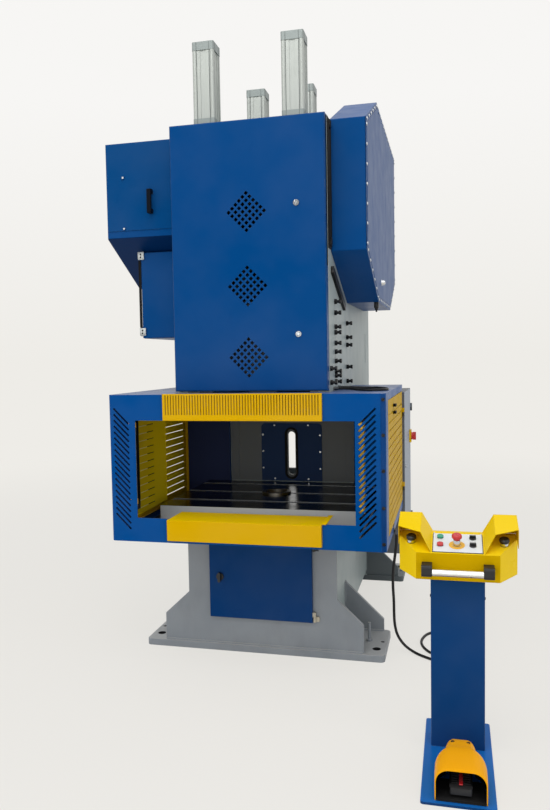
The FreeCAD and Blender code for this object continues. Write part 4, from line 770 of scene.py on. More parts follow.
NODE_FINISHES: dict[Finish, str] = {
    FRAME_GREY: "feet front_column bed_plate rear_plate motor",
    HEAD_GREY: "side_plate_left side_plate_right cross_members top_deck",
    DOOR_BLUE: "main_door",
    LEFT_BLUE: "left_housing",
    HOUSING_BLUE: "control_cabinet control_cabinet_door drive_cover",
    PANEL_BLUE: "left_access_panel",
    GUARD_BLUE: "guard_shell throat_cover",
    BASE_BLUE: "base_door",
    STAND_BLUE: "stand_column",
    GUARD_YELLOW: "guard_door_left guard_door_right",
    COVER_YELLOW: "slotted_cover shelf_cover",
    CURTAIN_YELLOW: "light_curtains",
    HEAD_YELLOW: "control_head",
    HOOD_YELLOW: "foot_switch",
    CABINET_GREY: "electrical_cabinet electrical_door",
    TABLE_STEEL: "bolster",
    GIB_STEEL: "slide_gibs",
    TURNED_STEEL: "crankshaft adjusting_screw piston_rods",
    CAST_IRON: "connecting_rod rod_cap slide flywheel motor_pulley",
    BUSH_BRONZE: "crank_bushes",
    BARREL: "counterbalance_cylinders",
    BELT_RUBBER: "drive_belts",
    CHROME: "upper_key lower_key",
    BLACKENED: "gib_screws",
    BLACK_ABS: "base_door_latch palm_button_left palm_button_right mode_switch light_switch foot_pedal",
    RED_ABS: "main_switch stop_button emergency_stop",
    GREEN_ABS: "start_button",
    HANDLE_TUBE: "stand_handle",
    PANEL_FILM: "control_panel",
    HINGE_BLACK: "hinge_knuckles",
    FITTINGS: "line_fittings",
}


def dress_nodes() -> None:
    """Gives every built part the material of its real finish."""
    for finish, names in NODE_FINISHES.items():
        for name in names.split():
            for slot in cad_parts[name].material_slots:
                slot.material = finish.material()
            LOG.info("%s: %s", name, finish.name)


# ---------------------------------------------------------------- work by hand
class Kind(Enum):
    """What can be picked on a piece."""

    FACE = "FACE"
    EDGE = "EDGE"
    CORNER = "VERT"


def clear_selection() -> None:
    """Leaves nothing selected, since an operator acts on all that is."""
    if bpy.context.object is not None and bpy.context.object.mode != "OBJECT":
        bpy.ops.object.mode_set(mode="OBJECT")
    bpy.ops.object.select_all(action="DESELECT")


def select(*pieces: Piece) -> None:
    """Leaves just these pieces selected, and the first one active.

    Args:
        pieces: the pieces, at least one.
    """
    clear_selection()
    for piece in pieces:
        piece.select_set(True)
    bpy.context.view_layer.objects.active = pieces[0]


def settle() -> Piece:
    """Applies the place of all that is selected, and gives the active piece."""
    bpy.ops.object.transform_apply(location=True, rotation=True, scale=True)
    return bpy.context.object


def pick(piece: Piece, test: Callable[[Vector, Vector], bool], kind: Kind = Kind.FACE) -> None:
    """Selects what passes a test on a piece, and leaves edit mode on.

    Args:
        piece: the piece that is being shaped.
        test: takes an element's middle and the way that it looks or, for an edge, runs.
        kind: what it picks.
    """
    if piece.mode != "EDIT":
        bpy.context.view_layer.objects.active = piece
        bpy.ops.object.mode_set(mode="EDIT")
    bpy.ops.mesh.select_mode(type=kind.value)
    bpy.ops.mesh.select_all(action="DESELECT")
    net = bmesh.from_edit_mesh(piece.data)
    for part in {Kind.FACE: net.faces, Kind.EDGE: net.edges, Kind.CORNER: net.verts}[kind]:
        ends = [part.co] if kind is Kind.CORNER else [corner.co for corner in part.verts]
        way = (ends[1] - ends[0]).normalized() if kind is Kind.EDGE else part.normal
        if test(sum(ends, Vector()) / len(ends), way):
            part.select_set(True)
    net.select_flush(True)
    bmesh.update_edit_mesh(piece.data)


def extrude(x: float, y: float, z: float) -> None:
    """Draws what is picked out by that far, in metres."""
    bpy.ops.mesh.extrude_region_move(TRANSFORM_OT_translate={"value": (x, y, z)})


def press(piece: Piece, way: Vector, *steps: Pair) -> Piece:
    """Shapes the face that looks one way: draws in a rim and moves what is inside it, step by step.

    Args:
        piece: the piece.
        way: the way that the face looks.
        steps: in metres, the rim's width and how far the inside rises; it sinks where that is negative.

    Returns:
        The piece, in object mode.
    """
    pick(piece, lambda place, normal: normal.dot(way) > 0.9)
    for rim, rise in steps:
        bpy.ops.mesh.inset(thickness=rim)
        extrude(*(way * rise))
    bpy.ops.object.mode_set(mode="OBJECT")
    return piece


def turn_outward() -> None:
    """Makes all faces of the piece that is being shaped look out, and leaves edit mode."""
    bpy.ops.mesh.select_all(action="SELECT")
    bpy.ops.mesh.normals_make_consistent(inside=False)
    bpy.ops.object.mode_set(mode="OBJECT")


def smooth(piece: Piece, degrees: float) -> Piece:
    """Shades a piece smooth, apart from its sharp edges.

    Args:
        piece: the piece, in object mode.
        degrees: edges sharper than this stay sharp.

    Returns:
        The piece.
    """
    select(piece)
    bpy.ops.object.shade_smooth_by_angle(angle=math.radians(degrees))
    return piece


def round_edges(piece: Piece, width: float, segments: int = 2, angle: float = 35.0) -> Piece:
    """Rounds every edge sharper than an angle, and smooths what is left.

    Args:
        piece: the finished shape, in object mode.
        width: width of the rounding, in metres.
        segments: steps of the rounding.
        angle: edges flatter than this stay, in degrees.

    Returns:
        The piece.
    """
    select(piece)
    rounding = piece.modifiers.new("rounding", "BEVEL")
    rounding.width = width
    rounding.segments = segments
    rounding.limit_method = "ANGLE"
    rounding.angle_limit = math.radians(angle)
    bpy.ops.object.modifier_apply(modifier=rounding.name)
    return smooth(piece, 32.0)


def upright_round(radius: float, height: float, sides: int = 20) -> Piece:
    """Adds a round bar standing on the origin, ready to be shaped.

    Args:
        radius: its radius, in metres.
        height: its height, in metres.
        sides: how many flats it has.

    Returns:
        The bar.
    """
    clear_selection()
    bpy.ops.mesh.primitive_cylinder_add(vertices=sides, radius=radius, depth=height,
                                        location=(0.0, 0.0, height / 2.0))
    return settle()


def flat_block(size: Sequence[float], middle: Sequence[float] = (0.0, 0.0, 0.0)) -> Piece:
    """Adds a block, ready to be shaped.

    Args:
        size: its size, in metres.
        middle: its middle, in metres.

    Returns:
        The block.
    """
    clear_selection()
    bpy.ops.mesh.primitive_cube_add(size=1.0, location=tuple(middle))
    bpy.context.object.scale = tuple(size)
    return settle()


def facing(place: Vector, way: Vector, turn: float = 0.0) -> Matrix:
    """Gives the matrix of a copy that stands on a point, looks one way and is turned by degrees about it."""
    turned = way.to_track_quat("Z", "Y").to_matrix().to_4x4()
    return Matrix.Translation(place) @ turned @ Matrix.Rotation(math.radians(turn), 4, "Z")


def raised(heights: Sequence[float]) -> list[Matrix]:
    """Gives the matrices of copies that are raised by those heights, in millimetres."""
    return [Matrix.Translation((0.0, 0.0, height / 1000.0)) for height in heights]


def join(pieces: Sequence[Piece]) -> Piece:
    """Joins finished shapes into one piece.

    Args:
        pieces: the shapes, at least one.

    Returns:
        The joined piece.
    """
    select(*pieces)
    if len(pieces) > 1:
        bpy.ops.object.join()
    return bpy.context.object


def repeat(pattern: Piece, places: Iterable[Matrix]) -> Piece:
    """Copies a piece that is modelled once to each place, and joins the copies.

    Args:
        pattern: the piece, standing on the origin.
        places: one matrix for each copy.

    Returns:
        The joined piece.
    """
    copies = []
    for place in places:
        select(pattern)
        bpy.ops.object.duplicate(linked=False)
        bpy.context.object.matrix_world = place
        copies.append(settle())
    bpy.data.objects.remove(pattern)
    return join(copies)


def hand_over(piece: Piece, name: str, finish: Finish, body: Body = Body.FRAME) -> Piece:
    """Names, dresses and mounts a finished piece.

    Args:
        piece: the finished piece.
        name: its name.
        finish: its finish, which also says its material slot.
        body: the body that it rides on.

    Returns:
        The piece.
    """
    select(piece)
    settle()
    piece.name = name
    piece.data.name = name
    piece.data.materials.clear()
    piece.data.materials.append(finish.material())
    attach(piece, body.value)
    LOG.info("%s: %d faces on %s", name, len(piece.data.polygons), body.value)
    return piece


def scatter(pattern: Piece, places: Iterable[Matrix], name: str, finish: Finish,
            body: Body = Body.FRAME) -> None:
    """Copies a piece to each place and hands the copies over as one, as repeat and hand_over do."""
    hand_over(repeat(pattern, places), name, finish, body)


@dataclass(frozen=True)
class Turned:
    """Round or six-sided piece, in metres: a foot, and steps drawn in and up or down from its top."""

    radius: float
    height: float
    sides: int
    steps: tuple[Pair, ...]
    rounding: float
    segments: int = 2

    def model(self) -> Piece:
        """Shapes the piece.

        Returns:
            The piece, standing on the origin.
        """
        piece = press(upright_round(self.radius, self.height, self.sides), UPWARD, *self.steps)
        bpy.ops.object.mode_set(mode="EDIT")
        bpy.ops.mesh.select_all(action="SELECT")
        bpy.ops.mesh.remove_doubles(threshold=0.00001)
        bpy.ops.object.mode_set(mode="OBJECT")
        return round_edges(piece, self.rounding, self.segments)


class Drive(Enum):
    """Shape of a screw's head: how far its middle rises, as a share of its height."""

    SOCKET = -0.55
    BUTTON = 0.25


@dataclass(frozen=True)
class Screw:
    """Screw head, with or without its washer, in metres; its shares are of the radius."""

    radius: float
    height: float
    drive: Drive = Drive.SOCKET
    washer: float = 0.0
    washer_height: float = 0.0016
    sides: int = 16
    inset_share: float = 0.45
    rounding_share: float = 0.14

    def model(self) -> Piece:
        """Shapes one head: its top sunk or domed, its rim rounded, on its washer if it has one.

        Returns:
            The head, standing on the origin.
        """
        steps = ((self.radius * self.inset_share, self.height * self.drive.value),)
        rounding = self.radius * self.rounding_share
        head = Turned(self.radius, self.height, self.sides, steps, rounding, 1).model()
        if not self.washer:
            return head
        disc = upright_round(self.washer, self.washer_height)
        pick(disc, lambda place, normal: normal.z > 0.9)
        bpy.ops.mesh.inset(thickness=(self.washer - self.radius) * 0.6)
        bpy.ops.transform.translate(value=(0.0, 0.0, self.washer_height / 4.0))
        bpy.ops.object.mode_set(mode="OBJECT")
        return join([disc, head])


@dataclass(frozen=True)
class WeldBead:
    """Fillet weld laid in overlapping ripples, in metres."""

    leg: float = 0.0065
    ripple: float = 0.010
    swell: float = 1.2

    def model(self, length: float) -> Piece:
        """Draws the bead out ripple by ripple from a small octagon.

        Args:
            length: length of the weld.

        Returns:
            The bead, standing on the origin.
        """
        clear_selection()
        bpy.ops.mesh.primitive_circle_add(vertices=8, radius=self.leg, fill_type="NGON",
                                          location=(0.0, 0.0, 0.0))
        bead = bpy.context.object
        bpy.ops.object.mode_set(mode="EDIT")
        bpy.ops.mesh.select_all(action="SELECT")
        count = max(2, round(length / self.ripple))
        for number in range(count):
            extrude(0.0, 0.0, length / count)
            grow = self.swell if number % 2 == 0 else 1.0 / self.swell
            bpy.ops.transform.resize(value=(grow, grow, 1.0),
                                     center_override=(0.0, 0.0, length * (number + 1) / count))
        turn_outward()
        return smooth(bead, 60.0)


@dataclass(frozen=True)
class Strip(Box):
    """Strip of sheet with softened edges, one face of which can be pressed in or out."""

    rounding: float
    pressed: Vector | None = None
    step: Pair = (0.0, 0.0)

    def model(self) -> Piece:
        """Shapes the strip.

        Returns:
            The strip, in its place.
        """
        low, high = self.corners()
        strip = round_edges(flat_block(high - low, (high + low) / 2.0), self.rounding / 1000.0)
        return strip if self.pressed is None else press(strip, self.pressed, self.step)

    def mirrored(self) -> "Strip":
        """Gives the same strip on the left side."""
        pressed = None if self.pressed is None else self.pressed * Vector((-1.0, 1.0, 1.0))
        return replace(self, x=(-self.x[1], -self.x[0]), pressed=pressed)


@dataclass(frozen=True)
class Sheet:
    """Piece made of one or more strips, with its finish."""

    name: str
    finish: Finish
    strips: tuple[Strip, ...]
    body: Body = Body.FRAME

    def build(self) -> None:
        """Makes the piece."""
        hand_over(join([strip.model() for strip in self.strips]), self.name, self.finish, self.body)


# ---------------------------------------------------------------- trim
@dataclass
class DriveCoverTrim:
    """Screws round the drive cover's lid, its plug, and the clamp and the stay at its lower edge."""

    face_x: float = 633.0
    inset: float = 17.0
    corner_gap: float = 36.0
    pitch: float = 107.0
    outline: tuple[Pair, ...] = (
        (0, 2285), (0, 2990), (575, 3248), (1914, 3248), (1914, 2276), (1458, 2045), (605, 2045))
    middle: Pair = (950.0, 2650.0)
    screw: Screw = Screw(0.0092, 0.0045, Drive.BUTTON)
    plug: Turned = Turned(0.021, 0.004, 28, ((0.005, 0.014), (0.0015, 0.0), (0.0, 0.004), (0.004, 0.003)),
                          0.0008)
    plug_spot: Triple = (633.0, 790.0, 2180.0)
    jaw: Strip = Strip((604, 632), (606, 630), (2008, 2046), 2.5)
    bolt: Turned = Turned(0.011, 0.012, 6, ((0.0045, 0.012),), 0.001, 1)
    bolt_spot: Triple = (618.0, 618.0, 2008.0)
    stay: tuple[Pair, Pair] = ((0.0, 2183.0), (430.0, 2008.0))
    stay_x: float = 440.7
    stay_face: float = 445.2
    stay_bolt: Screw = Screw(0.010, 0.007)

    def build(self) -> None:
        """Makes screws, plug, clamp and stay."""
        scatter(self.screw.model(), self.places(), "drive_cover_lid_screws", ZINC)
        scatter(self.plug.model(), [facing(at(*self.plug_spot), RIGHTWARD)], "drive_cover_plug", CHROME)
        clamp = [self.jaw.model(), repeat(self.bolt.model(), [facing(at(*self.bolt_spot), -UPWARD)])]
        hand_over(join(clamp), "drive_cover_clamp", BLACKENED)
        hand_over(self.model_stay(), "drive_cover_stay", BLACKENED)

    def places(self) -> list[Matrix]:
        """Finds the screws' places along the outline, a little inside it.

        Returns:
            One matrix for each screw.
        """
        spots = []
        for first, second in zip(self.outline, self.outline[1:] + self.outline[:1]):
            start, end = Vector(first), Vector(second)
            along = (end - start).normalized()
            inward = Vector((-along.y, along.x))
            if inward.dot(Vector(self.middle) - start) < 0.0:
                inward = -inward
            room = (end - start).length - 2.0 * self.corner_gap
            steps = max(1, round(room / self.pitch))
            for number in range(steps + 1):
                spot = start + along * (self.corner_gap + room * number / steps) + inward * self.inset
                spots.append(facing(at(self.face_x, spot.x, spot.y), RIGHTWARD, 11.0 * number))
        return spots

    def model_stay(self) -> Piece:
        """Shapes the flat stay along the cover's sloping lower edge, with a bolt at each end.

        Returns:
            The stay, in its place.
        """
        (near, high), (far, low) = self.stay
        run = Vector((0.0, far - near, low - high)) / 1000.0
        bar = flat_block((0.009, run.length, 0.026))
        pick(bar, lambda place, normal: abs(normal.y) > 0.9)
        bpy.ops.mesh.inset(thickness=0.003)
        bpy.ops.mesh.extrude_region_shrink_fatten(TRANSFORM_OT_shrink_fatten={"value": 0.012})
        bpy.ops.object.mode_set(mode="OBJECT")
        tilt = Matrix.Rotation(math.atan2(run.z, run.y), 4, "X")
        middle = at(self.stay_x, (near + far) / 2.0, (high + low) / 2.0)
        bar = repeat(round_edges(bar, 0.0015), [Matrix.Translation(middle) @ tilt])
        shares = (0.06, 0.94)
        spots = [facing(at(self.stay_face, near + (far - near) * share, high + (low - high) * share),
                        RIGHTWARD) for share in shares]
        return join([bar, repeat(self.stay_bolt.model(), spots)])


@dataclass
class DoorGapSealAndShade:
    """Black seal that closes the gap between the tall door and the drive cover, with two catches; its black
    also darkens the gap as painted shade.
    """

    seal: Strip = Strip((434.6, 439.0), (-88.0, -3.0), (2292.0, 2984.0), 1.0, RIGHTWARD, (0.012, 0.0025))
    catch: Strip = Strip((439, 449), (-62, -30), (-22, 22), 2.0, RIGHTWARD, (0.005, -0.003))
    heights: tuple[float, ...] = (2951.0, 2330.0)

    def build(self) -> None:
        """Makes the seal and its catches."""
        hand_over(self.seal.model(), "door_gap_seal_and_shade", SEAL_RUBBER)
        scatter(self.catch.model(), raised(self.heights), "door_gap_catches", BLACKENED)


@dataclass
class CylinderTrim:
    """Screws and air fittings of the cylinders' caps, round corners of the barrels, and dark strips in the
    sensor slots as painted shade.
    """

    places: tuple[Pair, ...] = ((-251.0, -17.0), (251.0, -17.0), (-160.0, 762.0), (160.0, 762.0))
    top: float = 3448.0
    screw: Screw = Screw(0.0075, 0.006)
    screw_sink: float = 6.1
    fitting: Turned = Turned(0.0105, 0.008, 6, ((0.002, 0.006), (0.0025, -0.005)), 0.0006, 1)
    fitting_sink: float = 14.2
    column: float = 0.0132
    screw_reach: float = 46.0
    column_reach: float = 49.0
    slot_reach: float = 0.0365
    slot_depth: float = 0.0014
    # for each run of slot shade strips, barrel first: lower and upper end, distance from the middle, and
    # width
    runs: tuple[tuple[float, ...], ...] = (
        (3035.5, 3402.5, 58.7, 3.6), (2991.0, 3034.0, 62.4, 2.6), (3404.0, 3447.0, 62.4, 2.6))

    def build(self) -> None:
        """Makes screws, fittings, corner columns and the slots' painted shade strips."""
        spots = self.corners(self.screw_reach, self.top - self.screw_sink, 17.0)
        scatter(self.screw.model(), spots, "cylinder_cap_screws", ZINC)
        spots = [facing(at(x, depth, self.top - self.fitting_sink), UPWARD) for x, depth in self.places]
        scatter(self.fitting.model(), spots, "cylinder_air_fittings", FITTINGS)
        low, high = self.runs[0][:2]
        column = upright_round(self.column, (high - low) / 1000.0, 16)
        for way in (-UPWARD, UPWARD):
            press(column, way, (0.002, -0.0005))
        spots = self.corners(self.column_reach, low)
        scatter(smooth(column, 35.0), spots, "cylinder_corner_columns", BARREL)
        hand_over(join([self.model_run(*run) for run in self.runs]), "cylinder_slot_shade_strips", SLOT_SHADE_GREY)

    def corners(self, reach: float, z: float, twist: float = 0.0) -> list[Matrix]:
        """Finds four places about each cylinder's middle, each turned by its own offset times a twist."""
        return [facing(at(x + across, depth + back, z), UPWARD, twist * across) for x, depth in self.places
                for across in (-reach, reach) for back in (-reach, reach)]

    def model_run(self, low: float, high: float, out: float, width: float) -> Piece:
        """Lays a dark strip in each sensor slot of a run, as painted shade, two on every side of each
        cylinder.

        Args:
            low: lower end of the run.
            high: its upper end.
            out: distance of the strips from the cylinder's middle.
            width: width of one strip.

        Returns:
            The strips, in their places.
        """
        length = (high - low) / 1000.0
        strip = flat_block((width / 1000.0, self.slot_depth, length), (0.0, 0.0, length / 2.0))
        round_edges(strip, 0.0004, 1)
        return repeat(strip, [
            Matrix.Translation(at(x, depth, low)) @ Matrix.Rotation(math.pi / 2.0 * turn, 4, "Z")
            @ Matrix.Translation((side * self.slot_reach, -out / 1000.0, 0.0))
            for x, depth in self.places for turn in range(4) for side in (-1, 1)])


@dataclass
class SmallDoorTrim:
    """Pale hinge blocks with their screws, and the dark edge strip, on the small cabinet's door."""

    block: Strip = Strip((-742.0, -704.0), (88.0, 100.0), (-23.0, 23.0), 2.0, FRONTWARD, (0.004, 0.0015))
    heights: tuple[float, ...] = (1877.0, 2327.5)
    edge: Strip = Strip((-743, -727.5), (96, 103), (1903.0, 2301.5), 1.5, FRONTWARD, (0.003, -0.002))
    screw: Screw = Screw(0.005, 0.003)
    screw_spot: Pair = (-723.0, 86.5)

    def build(self) -> None:
        """Makes both blocks with two screws in each, and the strip."""
        scatter(self.block.model(), raised(self.heights), "small_door_hinge_blocks", ALUMINIUM,
                Body.SMALL_DOOR)
        Sheet("small_door_edge_strip", SEAL_RUBBER, (self.edge,), Body.SMALL_DOOR).build()
        spots = [facing(at(*self.screw_spot, z + off), FRONTWARD) for z in self.heights for off in (-9, 8)]
        scatter(self.screw.model(), spots, "small_door_hinge_screws", BLACKENED, Body.SMALL_DOOR)


@dataclass
class ThroatTrim:
    """White screws of the throat cover and the rubber rim of its long slot."""

    face: float = 892.0
    screw: Screw = Screw(0.006, 0.0035, Drive.BUTTON)
    screws: tuple[Pair, ...] = (
        (-118, 1246), (118, 1246), (-200, 1181), (200, 1178), (-200, 1066), (200, 1064),
        (-200, 950), (200, 948), (-118, 876), (118, 876))
    slot_half: float = 35.0
    slot_centres: Pair = (920.0, 1186.0)
    rim: float = 8.0
    rim_squash: float = 0.6

    def build(self) -> None:
        """Makes screws and rim."""
        spots = [facing(at(x, self.face, z), FRONTWARD) for x, z in self.screws]
        scatter(self.screw.model(), spots, "throat_cover_screws", ZINC)
        hand_over(self.model_rim(), "throat_slot_rim", SEAL_RUBBER)

    def model_rim(self) -> Piece:
        """Shapes the rim: a ring stood on edge, its upper half drawn up to the slot's length.

        Returns:
            The rim, in its place.
        """
        low, high = self.slot_centres
        clear_selection()
        bpy.ops.mesh.primitive_torus_add(
            major_radius=(self.slot_half + self.rim * 0.5) / 1000.0, minor_radius=self.rim / 1000.0,
            major_segments=34, minor_segments=10, rotation=(math.pi / 2.0, math.pi / 34.0, 0.0),
            location=at(0.0, self.face, low))
        rim = settle()
        pick(rim, lambda place, way: place.z > (low + 0.5) / 1000.0, Kind.CORNER)
        bpy.ops.transform.translate(value=(0.0, 0.0, (high - low) / 1000.0))
        bpy.ops.mesh.select_all(action="SELECT")
        bpy.ops.transform.resize(value=(1.0, self.rim_squash, 1.0),
                                 center_override=tuple(at(0.0, self.face, (low + high) / 2.0)))
        turn_outward()
        return smooth(rim, 40.0)


@dataclass
class TableTrim:
    """Ribbed ring in the table's bore."""

    depth: float = 440.0
    outer: float = 88.0
    inner: float = 66.0
    z: Pair = (846.5, 872.0)
    ribs: int = 36
    rib: float = 0.0035

    def build(self) -> None:
        """Makes the ring: every second flat of its wall drawn out into a rib."""
        height = (self.z[1] - self.z[0]) / 1000.0
        ring = upright_round(self.outer / 1000.0, height, self.ribs * 2)
        press(ring, UPWARD, ((self.outer - self.inner) / 1000.0, -0.85 * height))
        pick(ring, self.is_rib)
        bpy.ops.mesh.inset(thickness=0.0008, use_individual=True)
        bpy.ops.mesh.extrude_region_shrink_fatten(TRANSFORM_OT_shrink_fatten={"value": self.rib})
        bpy.ops.object.mode_set(mode="OBJECT")
        scatter(ring, [facing(at(0.0, self.depth, self.z[0]), UPWARD)], "table_bore_ring", RING_STEEL)

    def is_rib(self, place: Vector, normal: Vector) -> bool:
        """Tells every second flat of the outer wall.

        Args:
            place: middle of a face.
            normal: the way that it looks.

        Returns:
            True for a flat that becomes a rib.
        """
        if abs(normal.z) > 0.2 or place.to_2d().length < self.outer / 1100.0:
            return False
        return round(math.atan2(place.y, place.x) * self.ribs / math.pi - 0.5) % 2 == 0


@dataclass
class GuardTrim:
    """Strips, bolts and seals of the guard, and the sheets inside it and inside its doors, which are
    coloured dark or bright as painted shade and light.
    """

    bolt: Screw = Screw(0.0075, 0.005, Drive.BUTTON, 0.0095)
    bolts: tuple[Triple, ...] = tuple((743.0, -333.0, z) for z in (1490.0, 1310.0, 1128.0, 939.0, 754.0))
    slots: tuple[float, ...] = tuple(820.0 + 44.5 * row for row in range(14))
    strip: Strip = Strip((731, 753), (-333, -330), (717, 1516), 1.2)
    # black seal strip in the shelf joint, which also darkens the gap as painted shade
    joint: Strip = Strip((-430, -424.6), (-334, -330), (729, 839), 1.0, FRONTWARD, (0.0015, -0.001))
    angle: Strip = Strip((435, 438), (868.5, 905), (716, 1497), 0.8)
    # dark pan under each side of the guard, painted shade
    pan: Strip = Strip((590, 750), (-322, 864), (716, 719), 1.0, UPWARD, (0.012, -0.0015))
    # dark sheet behind the slots at the guard's left, painted shade seen through them
    slot_shade_sheet: Strip = Strip((-744, -612), (-323, -320.5), (790, 1440), 1.0, FRONTWARD, (0.008, -0.001))
    # skin inside each door, coloured brighter as painted light
    skin: Strip = Strip((748.6, 750.4), (-158, 470), (784, 1454), 0.6, LEFTWARD, (0.010, -0.0008))
    slat: Strip = Strip((748.6, 750.4), (469, 808), (3.4, 44.5), 0.6)
    rib: Strip = Strip((747.4, 749.6), (45, 262), (-2.4, 2.4), 1.0)
    # dark sheet behind the slotted cover, painted shade seen through its slots
    mesh: Strip = Strip((-424, 424), (-340.7, -339.3), (1406, 1520), 0.5, FRONTWARD, (0.004, -0.0006))
    lip: Strip = Strip((424, 449), (-342, -116), (845.5, 849), 1.0)

    def build(self) -> None:
        """Makes strips, bolts, the inner sheets of painted shade and light, and the shelf's lip."""
        Sheet("guard_corner_strip", STRIP_BLUE, (self.strip,)).build()
        Sheet("shelf_joint_seal_and_shade", SEAL_RUBBER, (self.joint,)).build()
        spots = [facing(at(*spot), FRONTWARD) for spot in self.bolts]
        scatter(self.bolt.model(), spots, "guard_corner_bolts", BLACKENED)
        Sheet("guard_wall_angles", STRIP_BLUE, (self.angle.mirrored(), self.angle)).build()
        Sheet("guard_shade_pans", SHADE_PAN_GREY, (self.pan.mirrored(), self.pan)).build()
        Sheet("guard_slot_shade_sheet", SLOT_SHADE_BLUE, (self.slot_shade_sheet,)).build()
        self.add_door_sheets("left", Body.GUARD_LEFT, self.skin.mirrored(), self.slat.mirrored(),
                             self.rib.mirrored())
        self.add_door_sheets("right", Body.GUARD_RIGHT, self.skin, self.slat, self.rib)
        Sheet("slotted_cover_shade_sheet", COVER_SHADE_YELLOW, (self.mesh,)).build()
        lip = self.lip.model()
        pick(lip, lambda place, normal: normal.x > 0.9)
        bpy.ops.transform.translate(value=(0.0, 0.012, 0.0))
        hand_over(lip, "shelf_lip", COVER_YELLOW)

    def add_door_sheets(self, side: str, body: Body, skin: Strip, slat: Strip, rib: Strip) -> None:
        """Makes the second skin inside one slotted door, closed in front and slatted behind, and its ribs;
        the skin's brighter yellow and the ribs' pale and dark colours are painted light and shade.

        Args:
            side: the door's side, for the names.
            body: the door's body.
            skin: the closed part of the skin.
            slat: the slat over the lowest slot, as if the slot were at the floor.
            rib: the rib in it, likewise.
        """
        sheets = [skin.model(), repeat(slat.model(), raised(self.slots))]
        hand_over(join(sheets), f"guard_door_{side}_skin", LIT_SKIN_YELLOW, body)
        scatter(rib.model(), raised(self.slots), f"guard_door_{side}_ribs", RIB_LIGHT_SHADE_YELLOW, body)


@dataclass
class AnchorHoleShade:
    """Dark rubber discs at the bottom of the anchor holes: painted shade that darkens the holes."""

    anchor_x: float = 655.0
    depths: Pair = (100.0, 1800.0)
    floor: float = 0.2
    disc: Turned = Turned(0.0238, 0.006, 28, ((0.006, -0.003),), 0.0008, 1)

    def build(self) -> None:
        """Makes one disc in each anchor hole."""
        spots = [Matrix.Translation(at(side * self.anchor_x, depth, self.floor))
                 for side in (-1, 1) for depth in self.depths]
        scatter(self.disc.model(), spots, "anchor_hole_shade_discs", SEAL_RUBBER)


@dataclass
class FootSwitchHood:
    """Die-cast hood over the pedal: a wide rounded mouth that draws in to a narrow lobe behind."""

    middle_x: float = 1112.0
    floor: float = 10.0
    wall: float = 0.0045
    shoulder: float = 0.054
    # for each row: its place, half its width, and its height
    rows: tuple[Triple, ...] = (
        (-1259, 98.5, 134), (-1235, 99.5, 137), (-1200, 100, 140), (-1150, 99.5, 142), (-1130, 97, 142),
        (-1114, 93, 141.5), (-1101, 86.5, 140.5), (-1090, 78, 139), (-1081, 70, 137), (-1072, 64.5, 135),
        (-1060, 62, 132.5), (-1040, 61.5, 130), (-1015, 61, 126), (-998, 58, 122.5), (-986, 52, 117),
        (-979, 43, 109))
    screw: Screw = Screw(0.0075, 0.0035)
    screw_depth: float = -1028.0
    screw_floor: float = 126.0
    screw_reach: float = 31.0
    pin: Turned = Turned(0.005, 0.150, 18, (), 0.0008)
    pin_spot: Triple = (1037.0, -1088.0, 44.0)

    def build(self) -> None:
        """Makes the hood, its two screws and the pedal's cross pin."""
        hood = hand_over(self.model_shell(), "foot_switch_hood", HOOD_YELLOW)
        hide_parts("foot_switch")
        spots = [facing(at(self.middle_x + off, self.screw_depth, self.screw_floor), UPWARD)
                 for off in (-self.screw_reach, self.screw_reach)]
        scatter(self.screw.model(), spots, "hood_screws", BLACKENED)
        scatter(self.pin.model(), [facing(at(*self.pin_spot), RIGHTWARD)], "pedal_cross_pin", BLACKENED)

    def model_shell(self) -> Piece:
        """Shapes the shell: a rounded arch drawn back row by row, closed behind, then given its wall.

        Returns:
            The shell, in its place.
        """
        depth, half, height = self.rows[0]
        clear_selection()
        bpy.ops.mesh.primitive_plane_add(size=1.0, rotation=(math.pi / 2.0, 0.0, 0.0),
                                         location=at(self.middle_x, depth, (self.floor + height) / 2.0))
        bpy.context.object.scale = (2.0 * half / 1000.0, (height - self.floor) / 1000.0, 1.0)
        shell = settle()
        pick(shell, lambda place, way: place.z > 2.0 * self.floor / 1000.0, Kind.CORNER)
        bpy.ops.mesh.bevel(offset=self.shoulder, segments=12, affect="VERTICES")
        bpy.ops.mesh.select_all(action="SELECT")
        bpy.ops.mesh.delete(type="ONLY_FACE")
        pick(shell, lambda place, way: place.z < 1.5 * self.floor / 1000.0 and abs(way.x) > 0.9, Kind.EDGE)
        bpy.ops.mesh.delete(type="EDGE")
        pick(shell, lambda place, way: True, Kind.EDGE)
        for (depth, half, height), (next_depth, next_half, next_height) in zip(self.rows, self.rows[1:]):
            extrude(0.0, (next_depth - depth) / 1000.0, 0.0)
            bpy.ops.transform.resize(
                value=(next_half / half, 1.0, (next_height - self.floor) / (height - self.floor)),
                center_override=tuple(at(self.middle_x, next_depth, self.floor)))
        bpy.ops.mesh.edge_face_add()
        turn_outward()
        wall = shell.modifiers.new("wall", "SOLIDIFY")
        wall.thickness = self.wall
        wall.offset = -1.0
        bpy.ops.object.modifier_apply(modifier=wall.name)
        bpy.ops.object.mode_set(mode="EDIT")
        turn_outward()
        return round_edges(shell, 0.0012, 2, 50.0)


